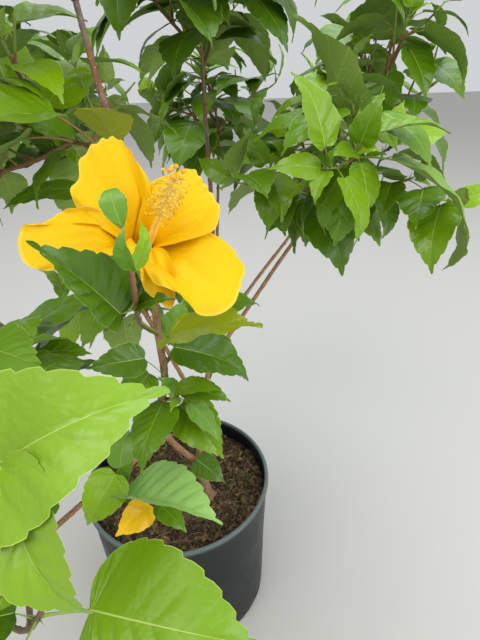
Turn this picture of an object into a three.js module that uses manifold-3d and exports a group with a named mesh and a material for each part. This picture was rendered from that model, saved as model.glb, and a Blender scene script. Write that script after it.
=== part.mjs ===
// A yellow-flowered hibiscus shrub growing in its black nursery pot.
// Millimetres, +Z up. The origin is the centre of the pot's flat underside.
// The plant is seen from its front, which faces -Y.
import * as THREE from 'three';
import { mergeVertices } from 'three/addons/utils/BufferGeometryUtils.js';
import Module from 'manifold-3d';

const wasm = await Module();
wasm.setup();

// Driving dimensions of the pot and its filling
const GAP = 0.3;
const POT_SIDES = 36;
const POT_HEIGHT = 243;
const RIM_RADIUS = 139;
const BASE_RADIUS = 126.2;
const WALL = 2.2;
const FLOOR = 3;
const BEAD_HEIGHT = 8.5;
const BEAD_PROUD = 3.4;
const FOOT_CHAMFER = 4;
const DRAIN_HOLES = 8;
const DRAIN_WIDTH = 22;
const DRAIN_HEIGHT = 13;
const DRAIN_DEPTH = 16;
const DRAIN_SILL = 3.6;
const SOIL_LEVEL = 218;
const SOIL_EDGE = 4;
const SOIL_RINGS = [100, 75];
const SOIL_WAVE = 3;
const SOIL_WAVE_LENGTHS = [107, 132];
const SOIL_FLAT = 30;

// Driving dimensions of the limbs: where each one runs, and how thick it starts and ends.
// A limb or stem begins on the centre line of what carries it, and is cut 0.3 mm clear of it.
const TRUNK_FOOT = [45, -20, SOIL_LEVEL + GAP];
const TRUNK_FLARE = 4.2;
const FLARE_HEIGHT = 9;
const LEVEL_CUT_WIDE = 80;
const LEVEL_CUT_DEEP = 20;
const TRUNK_SIDES = 10;
const LIMB_SIDES = 7;
const TRUNK_STEP = 7;
const LIMB_STEP = 32;
const LIMBS = {
  trunk: { way: [TRUNK_FOOT, [43, -17, 234], [37, -10, 254], [33, -5, 271]], thick: [6.2, 6] },
  leader: {
    on: ['trunk'],
    way: [[33, -5, 270], [2, -44, 359], [14, -120, 478], [31, -165, 543], [33, -177, 625],
      [34, -160, 694], [11, -147, 776], [-3, -130, 847]],
    thick: [4.6, 2.1],
  },
  bough_centre: {
    on: ['trunk', 'leader'],
    way: [[33, -5, 270], [40, 10, 330], [56, 36, 420], [72, 62, 600], [72, 62, 760]],
    thick: [4.4, 2.2],
  },
  bough_back: {
    on: ['bough_centre'],
    way: [[42, 14, 345], [58, 100, 420], [70, 190, 530], [76, 238, 620]],
    thick: [3.6, 2.1],
  },
  bough_back_left: {
    on: ['bough_centre', 'bough_back'],
    way: [[43.2, 15.6, 352], [-20, 80, 450], [-92, 138, 560], [-140, 168, 660]],
    thick: [3.4, 2.1],
  },
  bough_right: {
    on: ['bough_centre'],
    way: [[56, 36, 420], [110, 78, 480], [182, 94, 582], [245, 75, 670]],
    thick: [3.4, 2.1],
  },
  bough_right_back: {
    on: ['bough_back'],
    way: [[58, 100, 420], [138, 168, 500], [190, 198, 556], [216, 210, 602]],
    thick: [3, 2.1],
  },
  bough_left: {
    on: ['leader'],
    way: [[2, -44, 359], [-70, -40, 432], [-150, -58, 530], [-205, -70, 620]],
    thick: [3.6, 2.1],
  },
  bough_fore: {
    on: ['leader', 'bough_left'],
    way: [[2, -52, 372], [-58, -165, 400], [-88, -280, 445], [-62, -352, 492]],
    thick: [3.4, 2.1],
  },
};

// The masses of leaves: the stem of each, the middle of its own space, and its seed.
// Seeded masses branch and leaf out by the growing rule. The leaves named one by one stand
// at the front of the shrub: root of the blade, tip, where the face looks, and breadth.
const SUN = [0, -0.25, 1];
const FRONT = [0.1, -0.75, 0.6];
const MASSES = {
  mass_top: {
    on: 'leader', way: [[-3, -130, 847], [-9, -124, 900], [-11, -116, 958]],
    middle: [0, -135, 925], seed: 11, twigs: 5, reach: 95, leaf: 86,
  },
  mass_upper_left: {
    on: 'leader', way: [[19, -151, 750], [-14, -132, 752], [-58, -108, 762], [-92, -96, 790]],
    middle: [-85, -90, 770], seed: 23, twigs: 4, reach: 90, leaf: 90,
    leaves: [
      { root: [17, -160, 758], tip: [16, -206, 790], face: [0, -0.4, 1], broad: 0.8 },
      { root: [-22, -99, 708], tip: [-83, -151, 717], face: SUN },
      { root: [-50, -64, 736], tip: [-94, -122, 733], face: SUN },
      { root: [-35, -94, 742], tip: [-48, -142, 778], face: FRONT },
    ],
  },
  mass_flowering: {
    on: 'leader',
    way: [[30, -175, 602], [27, -205, 628], [35, -250, 664], [42, -277, 692], [44, -284, 708]],
    middle: [30, -250, 670], seed: 5, twigs: 0, reach: 0, leaf: 0,
    leaves: [
      { root: [28, -264, 670], tip: [-3, -308, 733], face: FRONT, broad: 0.66 },
      { root: [45, -198, 612], tip: [120, -231, 640], face: [0, -0.1, 1] },
      { root: [39, -281, 731], tip: [33, -280, 756], face: [0.1, -1, 0.3], broad: 0.76 },
      { root: [42, -287, 710], tip: [37, -288, 737], face: [-0.5, -0.8, 0.3], broad: 0.62 },
      { root: [46, -286, 710], tip: [58, -283, 738], face: [0.7, -0.7, 0.2], broad: 0.42 },
    ],
  },
  mass_middle: {
    on: 'leader', way: [[32.5, -171, 566], [42, -168, 576], [50, -158, 590]],
    middle: [75, -150, 590], seed: 6, twigs: 0, reach: 0, leaf: 0,
    leaves: [
      { root: [40, -176, 593], tip: [57, -162, 630], face: FRONT, broad: 0.6 },
      { root: [46, -182, 592], tip: [118, -184, 562], face: SUN, broad: 0.7 },
      { root: [60, -148, 598], tip: [128, -118, 612], face: SUN },
    ],
  },
  mass_lower: {
    on: 'leader', way: [[20, -134, 500], [34, -152, 512], [42, -170, 530]],
    middle: [35, -185, 520], seed: 7, twigs: 0, reach: 0, leaf: 0,
    leaves: [
      { root: [44, -180, 546], tip: [84, -196, 558], face: SUN, broad: 0.5 },
      { root: [48, -172, 538], tip: [94, -181, 533], face: SUN },
      { root: [42, -162, 512], tip: [84, -197, 473], face: [0.4, -0.8, 0.6], broad: 0.7 },
      { root: [29, -180, 529], tip: [12, -244, 510], face: [-0.2, -0.6, 0.8] },
      { root: [20, -186, 584], tip: [-26, -204, 588], face: FRONT },
      { root: [20, -178, 562], tip: [-2, -224, 556], face: FRONT },
    ],
  },
  mass_inner: {
    on: 'bough_fore', way: [[-40, -128, 390], [-30, -166, 420], [-18, -205, 454]],
    middle: [0, -210, 440], seed: 8, twigs: 0, reach: 0, leaf: 0,
    leaves: [
      { root: [-10, -213, 456], tip: [84, -257, 459], face: [0.1, -0.6, 0.8], broad: 0.54 },
      { root: [-15, -217, 479], tip: [-40, -256, 452], face: FRONT, broad: 0.72 },
      { root: [-14, -186, 409], tip: [-14, -223, 389], face: [0.1, -0.8, 0.6], broad: 0.9 },
      { root: [10, -132, 318], tip: [42, -147, 304], face: SUN },
    ],
  },
  mass_fore: {
    on: 'bough_fore',
    way: [[-62, -352, 492], [-32, -368, 510], [-8, -372, 560], [-4, -376, 620], [-6, -378, 668]],
    middle: [-25, -370, 570], seed: 9, twigs: 4, reach: 95, leaf: 88,
    leaves: [
      { root: [8, -366, 525], tip: [112, -396, 534], face: [0.1, -0.5, 0.85], broad: 0.8 },
      { root: [-20, -380, 650], tip: [70, -378, 702], face: [0.2, -0.6, 0.8], broad: 0.66 },
      { root: [0, -384, 664], tip: [36, -434, 620], face: [-0.2, -0.8, 0.5], broad: 0.62 },
      { root: [-16, -382, 622], tip: [-78, -420, 606], face: FRONT },
      { root: [-22, -366, 560], tip: [-92, -372, 580], face: SUN },
      { root: [-34, -386, 508], tip: [-62, -440, 470], face: FRONT },
    ],
  },
  mass_left: {
    on: 'bough_left', way: [[-205, -70, 620], [-232, -82, 680], [-248, -92, 748]],
    middle: [-220, -95, 660], seed: 31, twigs: 5, reach: 105, leaf: 92,
  },
  mass_left_low: {
    on: 'bough_left', way: [[-96, -44.6, 464], [-128, -104, 476], [-160, -172, 512]],
    middle: [-135, -165, 500], seed: 37, twigs: 4, reach: 95, leaf: 90,
    leaves: [{ root: [-94, -232, 630], tip: [-24, -276, 640], face: SUN, broad: 0.62 }],
  },
  mass_left_back: {
    on: 'bough_back_left', way: [[-140, 168, 660], [-160, 184, 730], [-168, 190, 805]],
    middle: [-160, 165, 715], seed: 41, twigs: 5, reach: 105, leaf: 92,
  },
  mass_back_low: {
    on: 'bough_back_left', way: [[-20, 80, 450], [-52, 150, 472], [-78, 215, 516]],
    middle: [-60, 205, 490], seed: 43, twigs: 5, reach: 95, leaf: 90,
  },
  mass_back: {
    on: 'bough_back', way: [[76, 238, 620], [80, 262, 690], [74, 276, 768]],
    middle: [70, 265, 680], seed: 47, twigs: 5, reach: 105, leaf: 92,
  },
  mass_right: {
    on: 'bough_right', way: [[245, 75, 670], [272, 78, 740], [280, 72, 815]],
    middle: [275, 70, 730], seed: 53, twigs: 5, reach: 105, leaf: 92,
  },
  mass_right_back: {
    on: 'bough_right_back', way: [[216, 210, 602], [240, 226, 660], [250, 230, 725]],
    middle: [235, 225, 640], seed: 59, twigs: 5, reach: 100, leaf: 90,
  },
  mass_right_front: {
    on: 'bough_right', way: [[200, 90, 610], [206, 20, 660], [214, -48, 704], [214, -86, 764]],
    middle: [205, -60, 735], seed: 61, twigs: 5, reach: 95, leaf: 88,
  },
  mass_centre: {
    on: 'bough_centre', way: [[72, 62, 760], [72, 60, 830], [66, 54, 902]],
    middle: [70, 55, 845], seed: 67, twigs: 6, reach: 105, leaf: 90,
  },
};
const STEM_THICK = [2, 1.6];
const STEM_SIDES = 4;
const STEM_STEP = 18;

// The growing rule. Shares are of the stem or twig; a pair gives the least and the most.
const TURN = THREE.MathUtils.degToRad(137.5);
const SEED_STEP = 7919;
const TWIG = {
  thick: [1.9, 1.4],
  sides: 3,
  steps: 3,
  zone: [0.28, 0.88],
  reach: [0.85, 1.15],
  shorter: 0.3,
  forward: 0.55,
  outward: 0.85,
  rise: 0.16,
  wander: 0.12,
  trials: 5,
  trialTurn: 0.9,
};
const LEAF = {
  apart: 34,
  zone: [0.22, 0.96],
  size: [0.84, 1.16],
  smaller: 0.38,
  stalk: [0.26, 0.42],
  droop: [0.25, 0.85],
  spin: [-0.35, 0.35],
  broad: 0.68,
  arch: 0.05,
  thick: 0.014,
  trials: 6,
  trialTurn: 0.8,
};
// Widest places of a blade: share of its length, and half width as a share of its breadth
const LEAF_SECTIONS = [[0.26, 0.5], [0.62, 0.4]];
const STALK_HALF = 0.5;
const STALK_HIGH = 0.7;
const NECK_HALF = 1.4;
// Shares of a stem where the leaves named one by one may be rooted
const LEAF_NODES = [0.35, 0.45, 0.55, 0.65, 0.75, 0.85, 0.95];

// The crown's outline, the room kept free round limbs, and the bare spaces low down at the
// front right, which leave the pot and the stems in view
const CROWN_MIDDLE = [15, -25, 625];
const CROWN_REACH = [375, 400, 405];
const LOWEST_LEAF = 285;
const SPACE_MARGIN = 1.2;
const CLEAR = 3.4;
const CLEAR_STEPS = 5;
const BARE_BESIDE = { right: 118, height: 552, slope: 0.52 };
const BARE_BEFORE = { right: 62, height: 300, slope: 1 };
const BARE_IN_FRONT = { right: 45, slope: 0.17, front: -200, height: 840 };

// The flower: the throat, the way that it faces, and its sizes
const THROAT = new THREE.Vector3(48, -234, 718);
const FACING = new THREE.Vector3(0.35, -0.637, 0.682).normalize();
const PETAL_AZIMUTHS = [28, 118, 198, 252, 312];
const PETAL_LENGTHS = [56, 64, 78, 42, 72];
const PETAL_HALVES = [27, 26, 25, 20, 34];
const PETAL_LIFTS = [0, 0, 0, -6, 0];
const PETAL_THICK = 1.1;
const PETAL_ROLL = 0.16;
const FLOWER_SPACE = 84;
const PEDICEL = [[33, -176, 622], [31, -190, 650]];
const PEDICEL_RADIUS = 1.7;
const PEDICEL_STEP = 14;
// A petal from its root: share of its length, height above the throat, share of its half width
const PETAL_SHAPE = [[0.05, -44, 0.15], [0.2, -16, 0.34], [0.5, 3, 0.85], [0.8, 5, 1], [1, -2, 0.6]];
// Calyx and column: height above the calyx's foot or the throat, and radius
const CALYX_DEPTH = 60;
const CALYX_SHAPE = [[-1, 3], [3, 7], [12, 8], [30, 10]];
const COLUMN_SHAPE = [[-40, 3], [0, 2.2], [18, 2], [26, 6], [56, 5.5], [62, 1.5]];

const UP = new THREE.Vector3(0, 0, 1);
// Slanting ways that no limb runs along, which give each tube and twig its first direction across
const TUBE_ACROSS = [0.83, 0.37, 0.41];
const TWIG_ACROSS = [0.31, 0.95, 0.11];
const vector = (list) => new THREE.Vector3(...list);
const between = ([least, most], share) => least + (most - least) * share;

// Solids: a closed body is made from rings of corners, each ring joined to the next
function closedBody(rings, tip) {
  const corners = rings[0].length;
  const points = rings.flat();
  const faces = [];
  for (let k = 1; k + 1 < corners; k++) faces.push([0, k + 1, k]);
  for (let r = 0; r + 1 < rings.length; r++) {
    for (let k = 0; k < corners; k++) {
      const a = r * corners + k;
      const b = r * corners + (k + 1) % corners;
      faces.push([a, b, b + corners], [a, b + corners, a + corners]);
    }
  }
  const last = (rings.length - 1) * corners;
  if (tip) {
    points.push(tip);
    for (let k = 0; k < corners; k++) {
      faces.push([last + k, last + (k + 1) % corners, points.length - 1]);
    }
  } else {
    for (let k = 1; k + 1 < corners; k++) faces.push([last, last + k, last + k + 1]);
  }
  let volume = 0;
  for (const [a, b, c] of faces) {
    volume += points[a].clone().cross(points[b]).dot(points[c]);
  }
  const outward = volume > 0 ? faces : faces.map(([a, b, c]) => [a, c, b]);
  return new wasm.Manifold(new wasm.Mesh({
    numProp: 3,
    vertProperties: new Float32Array(points.flatMap((p) => p.toArray())),
    triVerts: new Uint32Array(outward.flat()),
  }));
}

// A tapering limb round a centre line, with a flat cut at each end
function taperedTube(line, radii, sides) {
  const rings = [];
  const across = vector(TUBE_ACROSS);
  line.forEach((point, i) => {
    const ahead = line[Math.min(i + 1, line.length - 1)];
    const behind = line[Math.max(i - 1, 0)];
    const run = ahead.clone().sub(behind).normalize();
    across.addScaledVector(run, -across.dot(run)).normalize();
    const side = run.clone().cross(across);
    const ring = [];
    for (let k = 0; k < sides; k++) {
      const turn = (2 * Math.PI * k) / sides;
      ring.push(point.clone()
        .addScaledVector(across, radii[i] * Math.cos(turn))
        .addScaledVector(side, radii[i] * Math.sin(turn)));
    }
    rings.push(ring);
  });
  return closedBody(rings);
}

// The centre line of a limb or stem, smooth through its way points, from its carrier's own line
function centreLine(way, step, carrier) {
  const points = way.map(vector);
  if (carrier) points[0] = nearestOn(carrier.line, points[0]);
  const curve = new THREE.CatmullRomCurve3(points, false, 'catmullrom', 0.5);
  let length = 0;
  for (let i = 1; i < points.length; i++) length += points[i].distanceTo(points[i - 1]);
  const steps = Math.max(3, Math.round(length / step));
  return Array.from({ length: steps + 1 }, (_, i) => curve.getPoint(i / steps));
}

function thickness(line, thick, flare = 0) {
  return line.map((point, i) => {
    const plain = thick[0] + (thick[1] - thick[0]) * (i / (line.length - 1));
    return plain + flare * Math.exp(-(point.z - line[0].z) / FLARE_HEIGHT);
  });
}

// The same limb made thicker and longer all round, to cut what is seated on it
function clearanceBody(limb) {
  const line = limb.line.map((p) => p.clone());
  const end = line.length - 1;
  const run = line[end].clone().sub(line[end - 1]).normalize();
  line[end].addScaledVector(run, GAP);
  return taperedTube(line, limb.radii.map((r) => r + GAP), limb.sides);
}

// The point at a given share of the way along a line
function pointAt(line, share) {
  const place = share * (line.length - 1);
  const k = Math.min(Math.floor(place), line.length - 2);
  return line[k].clone().lerp(line[k + 1], place - k);
}

// The one main body, with sealed hollows filled and loose crumbs dropped
function mainBody(body) {
  return body.decompose().reduce((most, piece) => (piece.volume() > most.volume() ? piece : most));
}

// A limb or stem cut clear of what carries it
function seated(body, carriers) {
  let cut = body;
  for (const carrier of carriers) cut = cut.subtract(clearanceBody(carrier));
  return mainBody(cut);
}

// The point of a centre line that lies nearest to a given point
function nearestOn(line, point) {
  const stretch = new THREE.Line3();
  let best = line[0].clone();
  for (let i = 1; i < line.length; i++) {
    const near = stretch.set(line[i - 1], line[i]).closestPointToPoint(point, true, new THREE.Vector3());
    if (near.distanceTo(point) < best.distanceTo(point)) best = near;
  }
  return best;
}

// Random numbers that come out the same each time for the same seed
function seeded(seed) {
  let state = seed;
  return () => {
    state = (state * 16807) % 2147483647;
    return state / 2147483647;
  };
}

// Leaves: a stalk from the twig to the blade, and a blade widest near its root
function leafAt(root, base, tip, face, broad) {
  const along = tip.clone().sub(base);
  const length = along.length();
  along.normalize();
  const normal = face.clone().addScaledVector(along, -face.dot(along)).normalize();
  const side = along.clone().cross(normal);
  const midrib = (s) => base.clone()
    .addScaledVector(along, length * s)
    .addScaledVector(normal, length * LEAF.arch * 4 * s * (1 - s));
  const edges = LEAF_SECTIONS.map(([s, half]) => [-1, 1].map((sign) => midrib(s)
    .addScaledVector(side, sign * half * broad * length)));
  const corners = [base, edges[0][0], edges[1][0], tip, edges[1][1], edges[0][1]];
  const plates = [
    [base, edges[0][0], edges[0][1]],
    [edges[0][0], edges[1][0], edges[1][1]],
    [edges[0][0], edges[1][1], edges[0][1]],
    [edges[1][0], tip, edges[1][1]],
  ];
  return { root, base, tip, length, normal, side, broad, midrib, corners, plates };
}

function leafBody(leaf) {
  const thick = Math.max(1, LEAF.thick * leaf.length);
  const along = leaf.tip.clone().sub(leaf.base).normalize();
  const stalk = leaf.base.clone().sub(leaf.root).normalize();
  const section = (centre, run, half, high) => {
    const side = leaf.side.clone().addScaledVector(run, -leaf.side.dot(run)).normalize();
    const up = side.clone().cross(run);
    return [
      centre.clone().addScaledVector(side, -half),
      centre.clone().addScaledVector(side, half),
      centre.clone().addScaledVector(up, high),
    ];
  };
  const rings = [
    section(leaf.root, stalk, STALK_HALF, STALK_HIGH),
    section(leaf.base, stalk.clone().add(along).normalize(), NECK_HALF, thick),
  ];
  for (const [s, half] of LEAF_SECTIONS) {
    rings.push(section(leaf.midrib(s), along, half * leaf.broad * leaf.length, thick));
  }
  return closedBody(rings, leaf.tip);
}

// Tests that keep a twig or leaf in its own space
function planeDistance(point, own, other) {
  const apart = vector(other).sub(vector(own));
  const half = vector(own).addScaledVector(apart, 0.5);
  return half.sub(point).dot(apart.normalize());
}

function inOwnSpace(point, name) {
  const out = CROWN_MIDDLE.map((c, i) => (point.getComponent(i) - c) / CROWN_REACH[i]);
  if (out[0] ** 2 + out[1] ** 2 + out[2] ** 2 > 1) return false;
  if (point.z < LOWEST_LEAF || onBareSide(point)) return false;
  if (point.distanceTo(THROAT) < FLOWER_SPACE) return false;
  return Object.entries(MASSES).every(([other, mass]) => other === name
    || planeDistance(point, MASSES[name].middle, mass.middle) > SPACE_MARGIN);
}

function onBareSide({ x, y, z }) {
  const beside = x > BARE_BESIDE.right && z < BARE_BESIDE.height - BARE_BESIDE.slope * y;
  const before = x > BARE_BEFORE.right && z < BARE_BEFORE.height - BARE_BEFORE.slope * y;
  const inFront = x > BARE_IN_FRONT.right + BARE_IN_FRONT.slope * y
    && y < BARE_IN_FRONT.front && z < BARE_IN_FRONT.height;
  return beside || before || inFront;
}

// Close steps along a limb, each with the room that must stay free round it
function keptClear({ line, radii }) {
  return line.slice(1).flatMap((end, i) => Array.from({ length: CLEAR_STEPS }, (_, k) => ({
    centre: line[i].clone().lerp(end, (k + 1) / CLEAR_STEPS),
    room: Math.max(radii[i], radii[i + 1]) + CLEAR,
  })));
}

function touches(points, plates, places) {
  const triangle = new THREE.Triangle();
  const nearest = new THREE.Vector3();
  return places.some(({ centre, room }) => {
    if (points.some((p) => p.distanceTo(centre) < room)) return true;
    return plates.some(([a, b, c]) => {
      triangle.set(a, b, c).closestPointToPoint(centre, nearest);
      return nearest.distanceTo(centre) < room;
    });
  });
}

function segmentCrosses(from, to, [a, b, c]) {
  const run = to.clone().sub(from);
  const ab = b.clone().sub(a);
  const ac = c.clone().sub(a);
  const h = run.clone().cross(ac);
  const det = ab.dot(h);
  if (Math.abs(det) < 1e-9) return false;
  const s = from.clone().sub(a);
  const u = s.dot(h) / det;
  if (u < 0 || u > 1) return false;
  const q = s.cross(ab);
  const v = run.dot(q) / det;
  if (v < 0 || u + v > 1) return false;
  const t = ac.dot(q) / det;
  return t > 0 && t < 1;
}

function leavesCross(one, two) {
  const room = (one.length + two.length) * 0.6;
  if (one.midrib(0.5).distanceTo(two.midrib(0.5)) > room) return false;
  const pierces = (p, q) => p.corners.some((corner, i) => {
    const next = p.corners[(i + 1) % p.corners.length];
    return q.plates.some((plate) => segmentCrosses(corner, next, plate));
  }) || q.plates.some((plate) => segmentCrosses(p.root, p.tip, plate));
  return pierces(one, two) || pierces(two, one);
}

// The rule that every seeded mass grows by: twigs leave the stem and leaves leave both,
// each turned 137.5 degrees on from the last, and what finds no room is left out
function sideways(run, turn) {
  const across = vector(TWIG_ACROSS);
  across.addScaledVector(run, -across.dot(run)).normalize();
  const side = run.clone().cross(across);
  return across.multiplyScalar(Math.cos(turn)).addScaledVector(side, Math.sin(turn));
}

function growTwig(from, direction, length, random) {
  const line = [from.clone()];
  const run = direction.clone();
  for (let i = 0; i < TWIG.steps; i++) {
    run.z += TWIG.rise;
    run.x += TWIG.wander * (random() - 0.5);
    run.y += TWIG.wander * (random() - 0.5);
    run.normalize();
    line.push(line[i].clone().addScaledVector(run, length / TWIG.steps));
  }
  return line;
}

function growLeaf(from, run, turn, size, random) {
  const out = sideways(run, turn);
  const stalk = size * between(LEAF.stalk, random());
  const droop = between(LEAF.droop, random());
  const spin = between(LEAF.spin, random());
  const base = from.clone().addScaledVector(out.clone().multiplyScalar(0.8)
    .addScaledVector(run, 0.5).addScaledVector(UP, 0.15).normalize(), stalk);
  const along = out.clone().addScaledVector(run, 0.2).addScaledVector(UP, -droop).normalize();
  const face = UP.clone().applyAxisAngle(along, spin);
  return leafAt(from, base, base.clone().addScaledVector(along, size), face, LEAF.broad);
}

// The twigs of a mass, each with as many trials as the rule gives to find a free way
function growTwigs(name, stem, others, random) {
  const mass = MASSES[name];
  const twigs = [];
  for (let i = 0; i < mass.twigs; i++) {
    const at = Math.round((stem.line.length - 1) * between(TWIG.zone, i / mass.twigs));
    const run = stem.line[at].clone().sub(stem.line[at - 1]).normalize();
    for (let trial = 0; trial < TWIG.trials; trial++) {
      const out = sideways(run, i * TURN + trial * TWIG.trialTurn);
      const direction = run.clone().multiplyScalar(TWIG.forward)
        .addScaledVector(out, TWIG.outward).normalize();
      const reach = mass.reach * (1 - TWIG.shorter * (i / mass.twigs)) * between(TWIG.reach, random());
      const line = growTwig(stem.line[at], direction, reach, random);
      const fits = line.slice(1).every((p) => inOwnSpace(p, name))
        && !touches(line.slice(1), [], others);
      if (fits) {
        twigs.push({ line, radii: thickness(line, TWIG.thick), sides: TWIG.sides });
        break;
      }
    }
  }
  return twigs;
}

// The leaves named one by one, each with its stalk from the nearest leaf node of the stem
function namedLeaves(mass, stem) {
  const nodes = LEAF_NODES.map((share) => pointAt(stem.line, share));
  return (mass.leaves || []).map((leaf) => {
    const base = vector(leaf.root);
    const root = nodes.reduce((best, p) => (
      p.distanceTo(base) < best.distanceTo(base) ? p : best));
    return leafAt(root, base, vector(leaf.tip), vector(leaf.face).normalize(), leaf.broad || 0.6);
  });
}

// The stem with its twigs and leaves: a leaf joins them where it stays in the mass's own space
// and clears the other limbs, the leaves already there and the mass's own wood
function growMass(name, limbs, stems) {
  const mass = MASSES[name];
  const random = seeded(mass.seed * SEED_STEP);
  const stem = stems[name];
  const others = [...limbs, ...Object.values(stems).filter((other) => other !== stem)]
    .flatMap(keptClear);
  const carriers = [stem, ...growTwigs(name, stem, others, random)];
  const leaves = namedLeaves(mass, stem);
  const fits = (leaf) => leaf.corners.every((p) => inOwnSpace(p, name))
    && !touches([leaf.base, leaf.base.clone().lerp(leaf.root, 0.5)], leaf.plates, others)
    && !leaves.some((other) => leavesCross(leaf, other))
    && !carriers.some(({ line }) => line.some((p, j) => j > 0
      && leaf.plates.some((plate) => segmentCrosses(line[j - 1], p, plate))));
  for (const { line } of mass.leaf ? carriers : []) {
    const total = line[0].distanceTo(line[line.length - 1]);
    const count = Math.max(3, Math.round(total / LEAF.apart) + 1);
    for (let i = 0; i < count; i++) {
      const share = between(LEAF.zone, i / (count - 1));
      const from = pointAt(line, share);
      const run = pointAt(line, share + 0.04).sub(pointAt(line, share - 0.04)).normalize();
      const size = mass.leaf * (1 - LEAF.smaller * share ** 3) * between(LEAF.size, random());
      for (let trial = 0; trial < LEAF.trials; trial++) {
        const leaf = growLeaf(from, run, i * TURN + trial * LEAF.trialTurn, size, random);
        if (fits(leaf)) {
          leaves.push(leaf);
          break;
        }
      }
    }
  }
  return { carriers, leaves };
}

// Surfaces of the parts
const finishes = {
  bark: { color: 0x8a7355, roughness: 0.85, metalness: 0 },
  leaf: { color: 0x5e8a1f, roughness: 0.4, metalness: 0 },
  petal: { color: 0xffd01c, roughness: 0.55, metalness: 0 },
  pot: { color: 0x2a3133, roughness: 0.45, metalness: 0 },
  soil: { color: 0x4a3a28, roughness: 0.95, metalness: 0 },
};
const shrub = new THREE.Group();

function addPart(name, body, finish) {
  const mesh = body.getMesh();
  const geometry = new THREE.BufferGeometry();
  geometry.setAttribute('position', new THREE.BufferAttribute(mesh.vertProperties, 3));
  geometry.setIndex(new THREE.BufferAttribute(mesh.triVerts, 1));
  geometry.computeVertexNormals();
  const part = new THREE.Mesh(geometry, new THREE.MeshStandardMaterial(finishes[finish]));
  part.name = name;
  shrub.add(part);
}

// A closed solid from a geometry, with the corners that its faces share merged
function solidFrom(geometry) {
  geometry.deleteAttribute('normal');
  geometry.deleteAttribute('uv');
  const merged = mergeVertices(geometry, 1e-4);
  const index = merged.index.array;
  const faces = [];
  for (let i = 0; i < index.length; i += 3) {
    const [a, b, c] = index.slice(i, i + 3);
    if (a !== b && b !== c && c !== a) faces.push(a, b, c);
  }
  return new wasm.Manifold(new wasm.Mesh({
    numProp: 3,
    vertProperties: new Float32Array(merged.getAttribute('position').array),
    triVerts: new Uint32Array(faces),
  }));
}

// A round body turned from its profile, where each profile point is a radius and a height
function turned(profile) {
  const points = profile.map(([radius, z]) => new THREE.Vector2(radius, z));
  return new THREE.LatheGeometry(points, POT_SIDES).rotateX(Math.PI / 2);
}

function wallRadius(z) {
  return BASE_RADIUS + (RIM_RADIUS - BEAD_PROUD - BASE_RADIUS) * (z / POT_HEIGHT);
}

function potBody() {
  const inside = wallRadius(POT_HEIGHT) - WALL;
  const bead = [-90, -45, 0, 45, 90].map((degrees) => {
    const turn = THREE.MathUtils.degToRad(degrees);
    return [
      RIM_RADIUS - BEAD_PROUD * (1 - Math.cos(turn)),
      POT_HEIGHT - (BEAD_HEIGHT / 2) * (1 - Math.sin(turn)),
    ];
  });
  let body = solidFrom(turned([
    [0, 0],
    [BASE_RADIUS - FOOT_CHAMFER, 0],
    [wallRadius(FOOT_CHAMFER), FOOT_CHAMFER],
    ...bead,
    [inside, POT_HEIGHT],
    [wallRadius(FLOOR) - WALL, FLOOR],
    [0, FLOOR],
  ]));
  for (let i = 0; i < DRAIN_HOLES; i++) {
    const slot = new THREE.BoxGeometry(DRAIN_DEPTH, DRAIN_WIDTH, DRAIN_HEIGHT);
    slot.translate(BASE_RADIUS, 0, DRAIN_HEIGHT / 2 + DRAIN_SILL);
    slot.rotateZ(((i + 0.5) * 2 * Math.PI) / DRAIN_HOLES);
    body = body.subtract(solidFrom(slot));
  }
  return body;
}

// The soil is level where the trunk stands and lies in low waves round it
function soilBody() {
  const inner = (z) => wallRadius(z) - WALL - GAP;
  const soil = turned([
    [0, FLOOR + GAP],
    [inner(FLOOR + GAP), FLOOR + GAP],
    [inner(SOIL_LEVEL), SOIL_LEVEL - SOIL_EDGE],
    [inner(SOIL_LEVEL) - SOIL_EDGE, SOIL_LEVEL],
    ...SOIL_RINGS.map((radius) => [radius, SOIL_LEVEL]),
    [0, SOIL_LEVEL],
  ]);
  const places = soil.getAttribute('position');
  for (let i = 0; i < places.count; i++) {
    const [x, y, z] = [places.getX(i), places.getY(i), places.getZ(i)];
    const fromTrunk = Math.hypot(x - TRUNK_FOOT[0], y - TRUNK_FOOT[1]);
    const away = THREE.MathUtils.smoothstep(fromTrunk, SOIL_FLAT, 2 * SOIL_FLAT);
    const [along, across] = SOIL_WAVE_LENGTHS.map((length) => (2 * Math.PI) / length);
    const wave = 0.5 + 0.5 * Math.sin(x * along + 1) * Math.cos(y * across);
    if (z > SOIL_LEVEL - 1) places.setZ(i, z - SOIL_WAVE * away * wave);
  }
  return solidFrom(soil);
}

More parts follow.
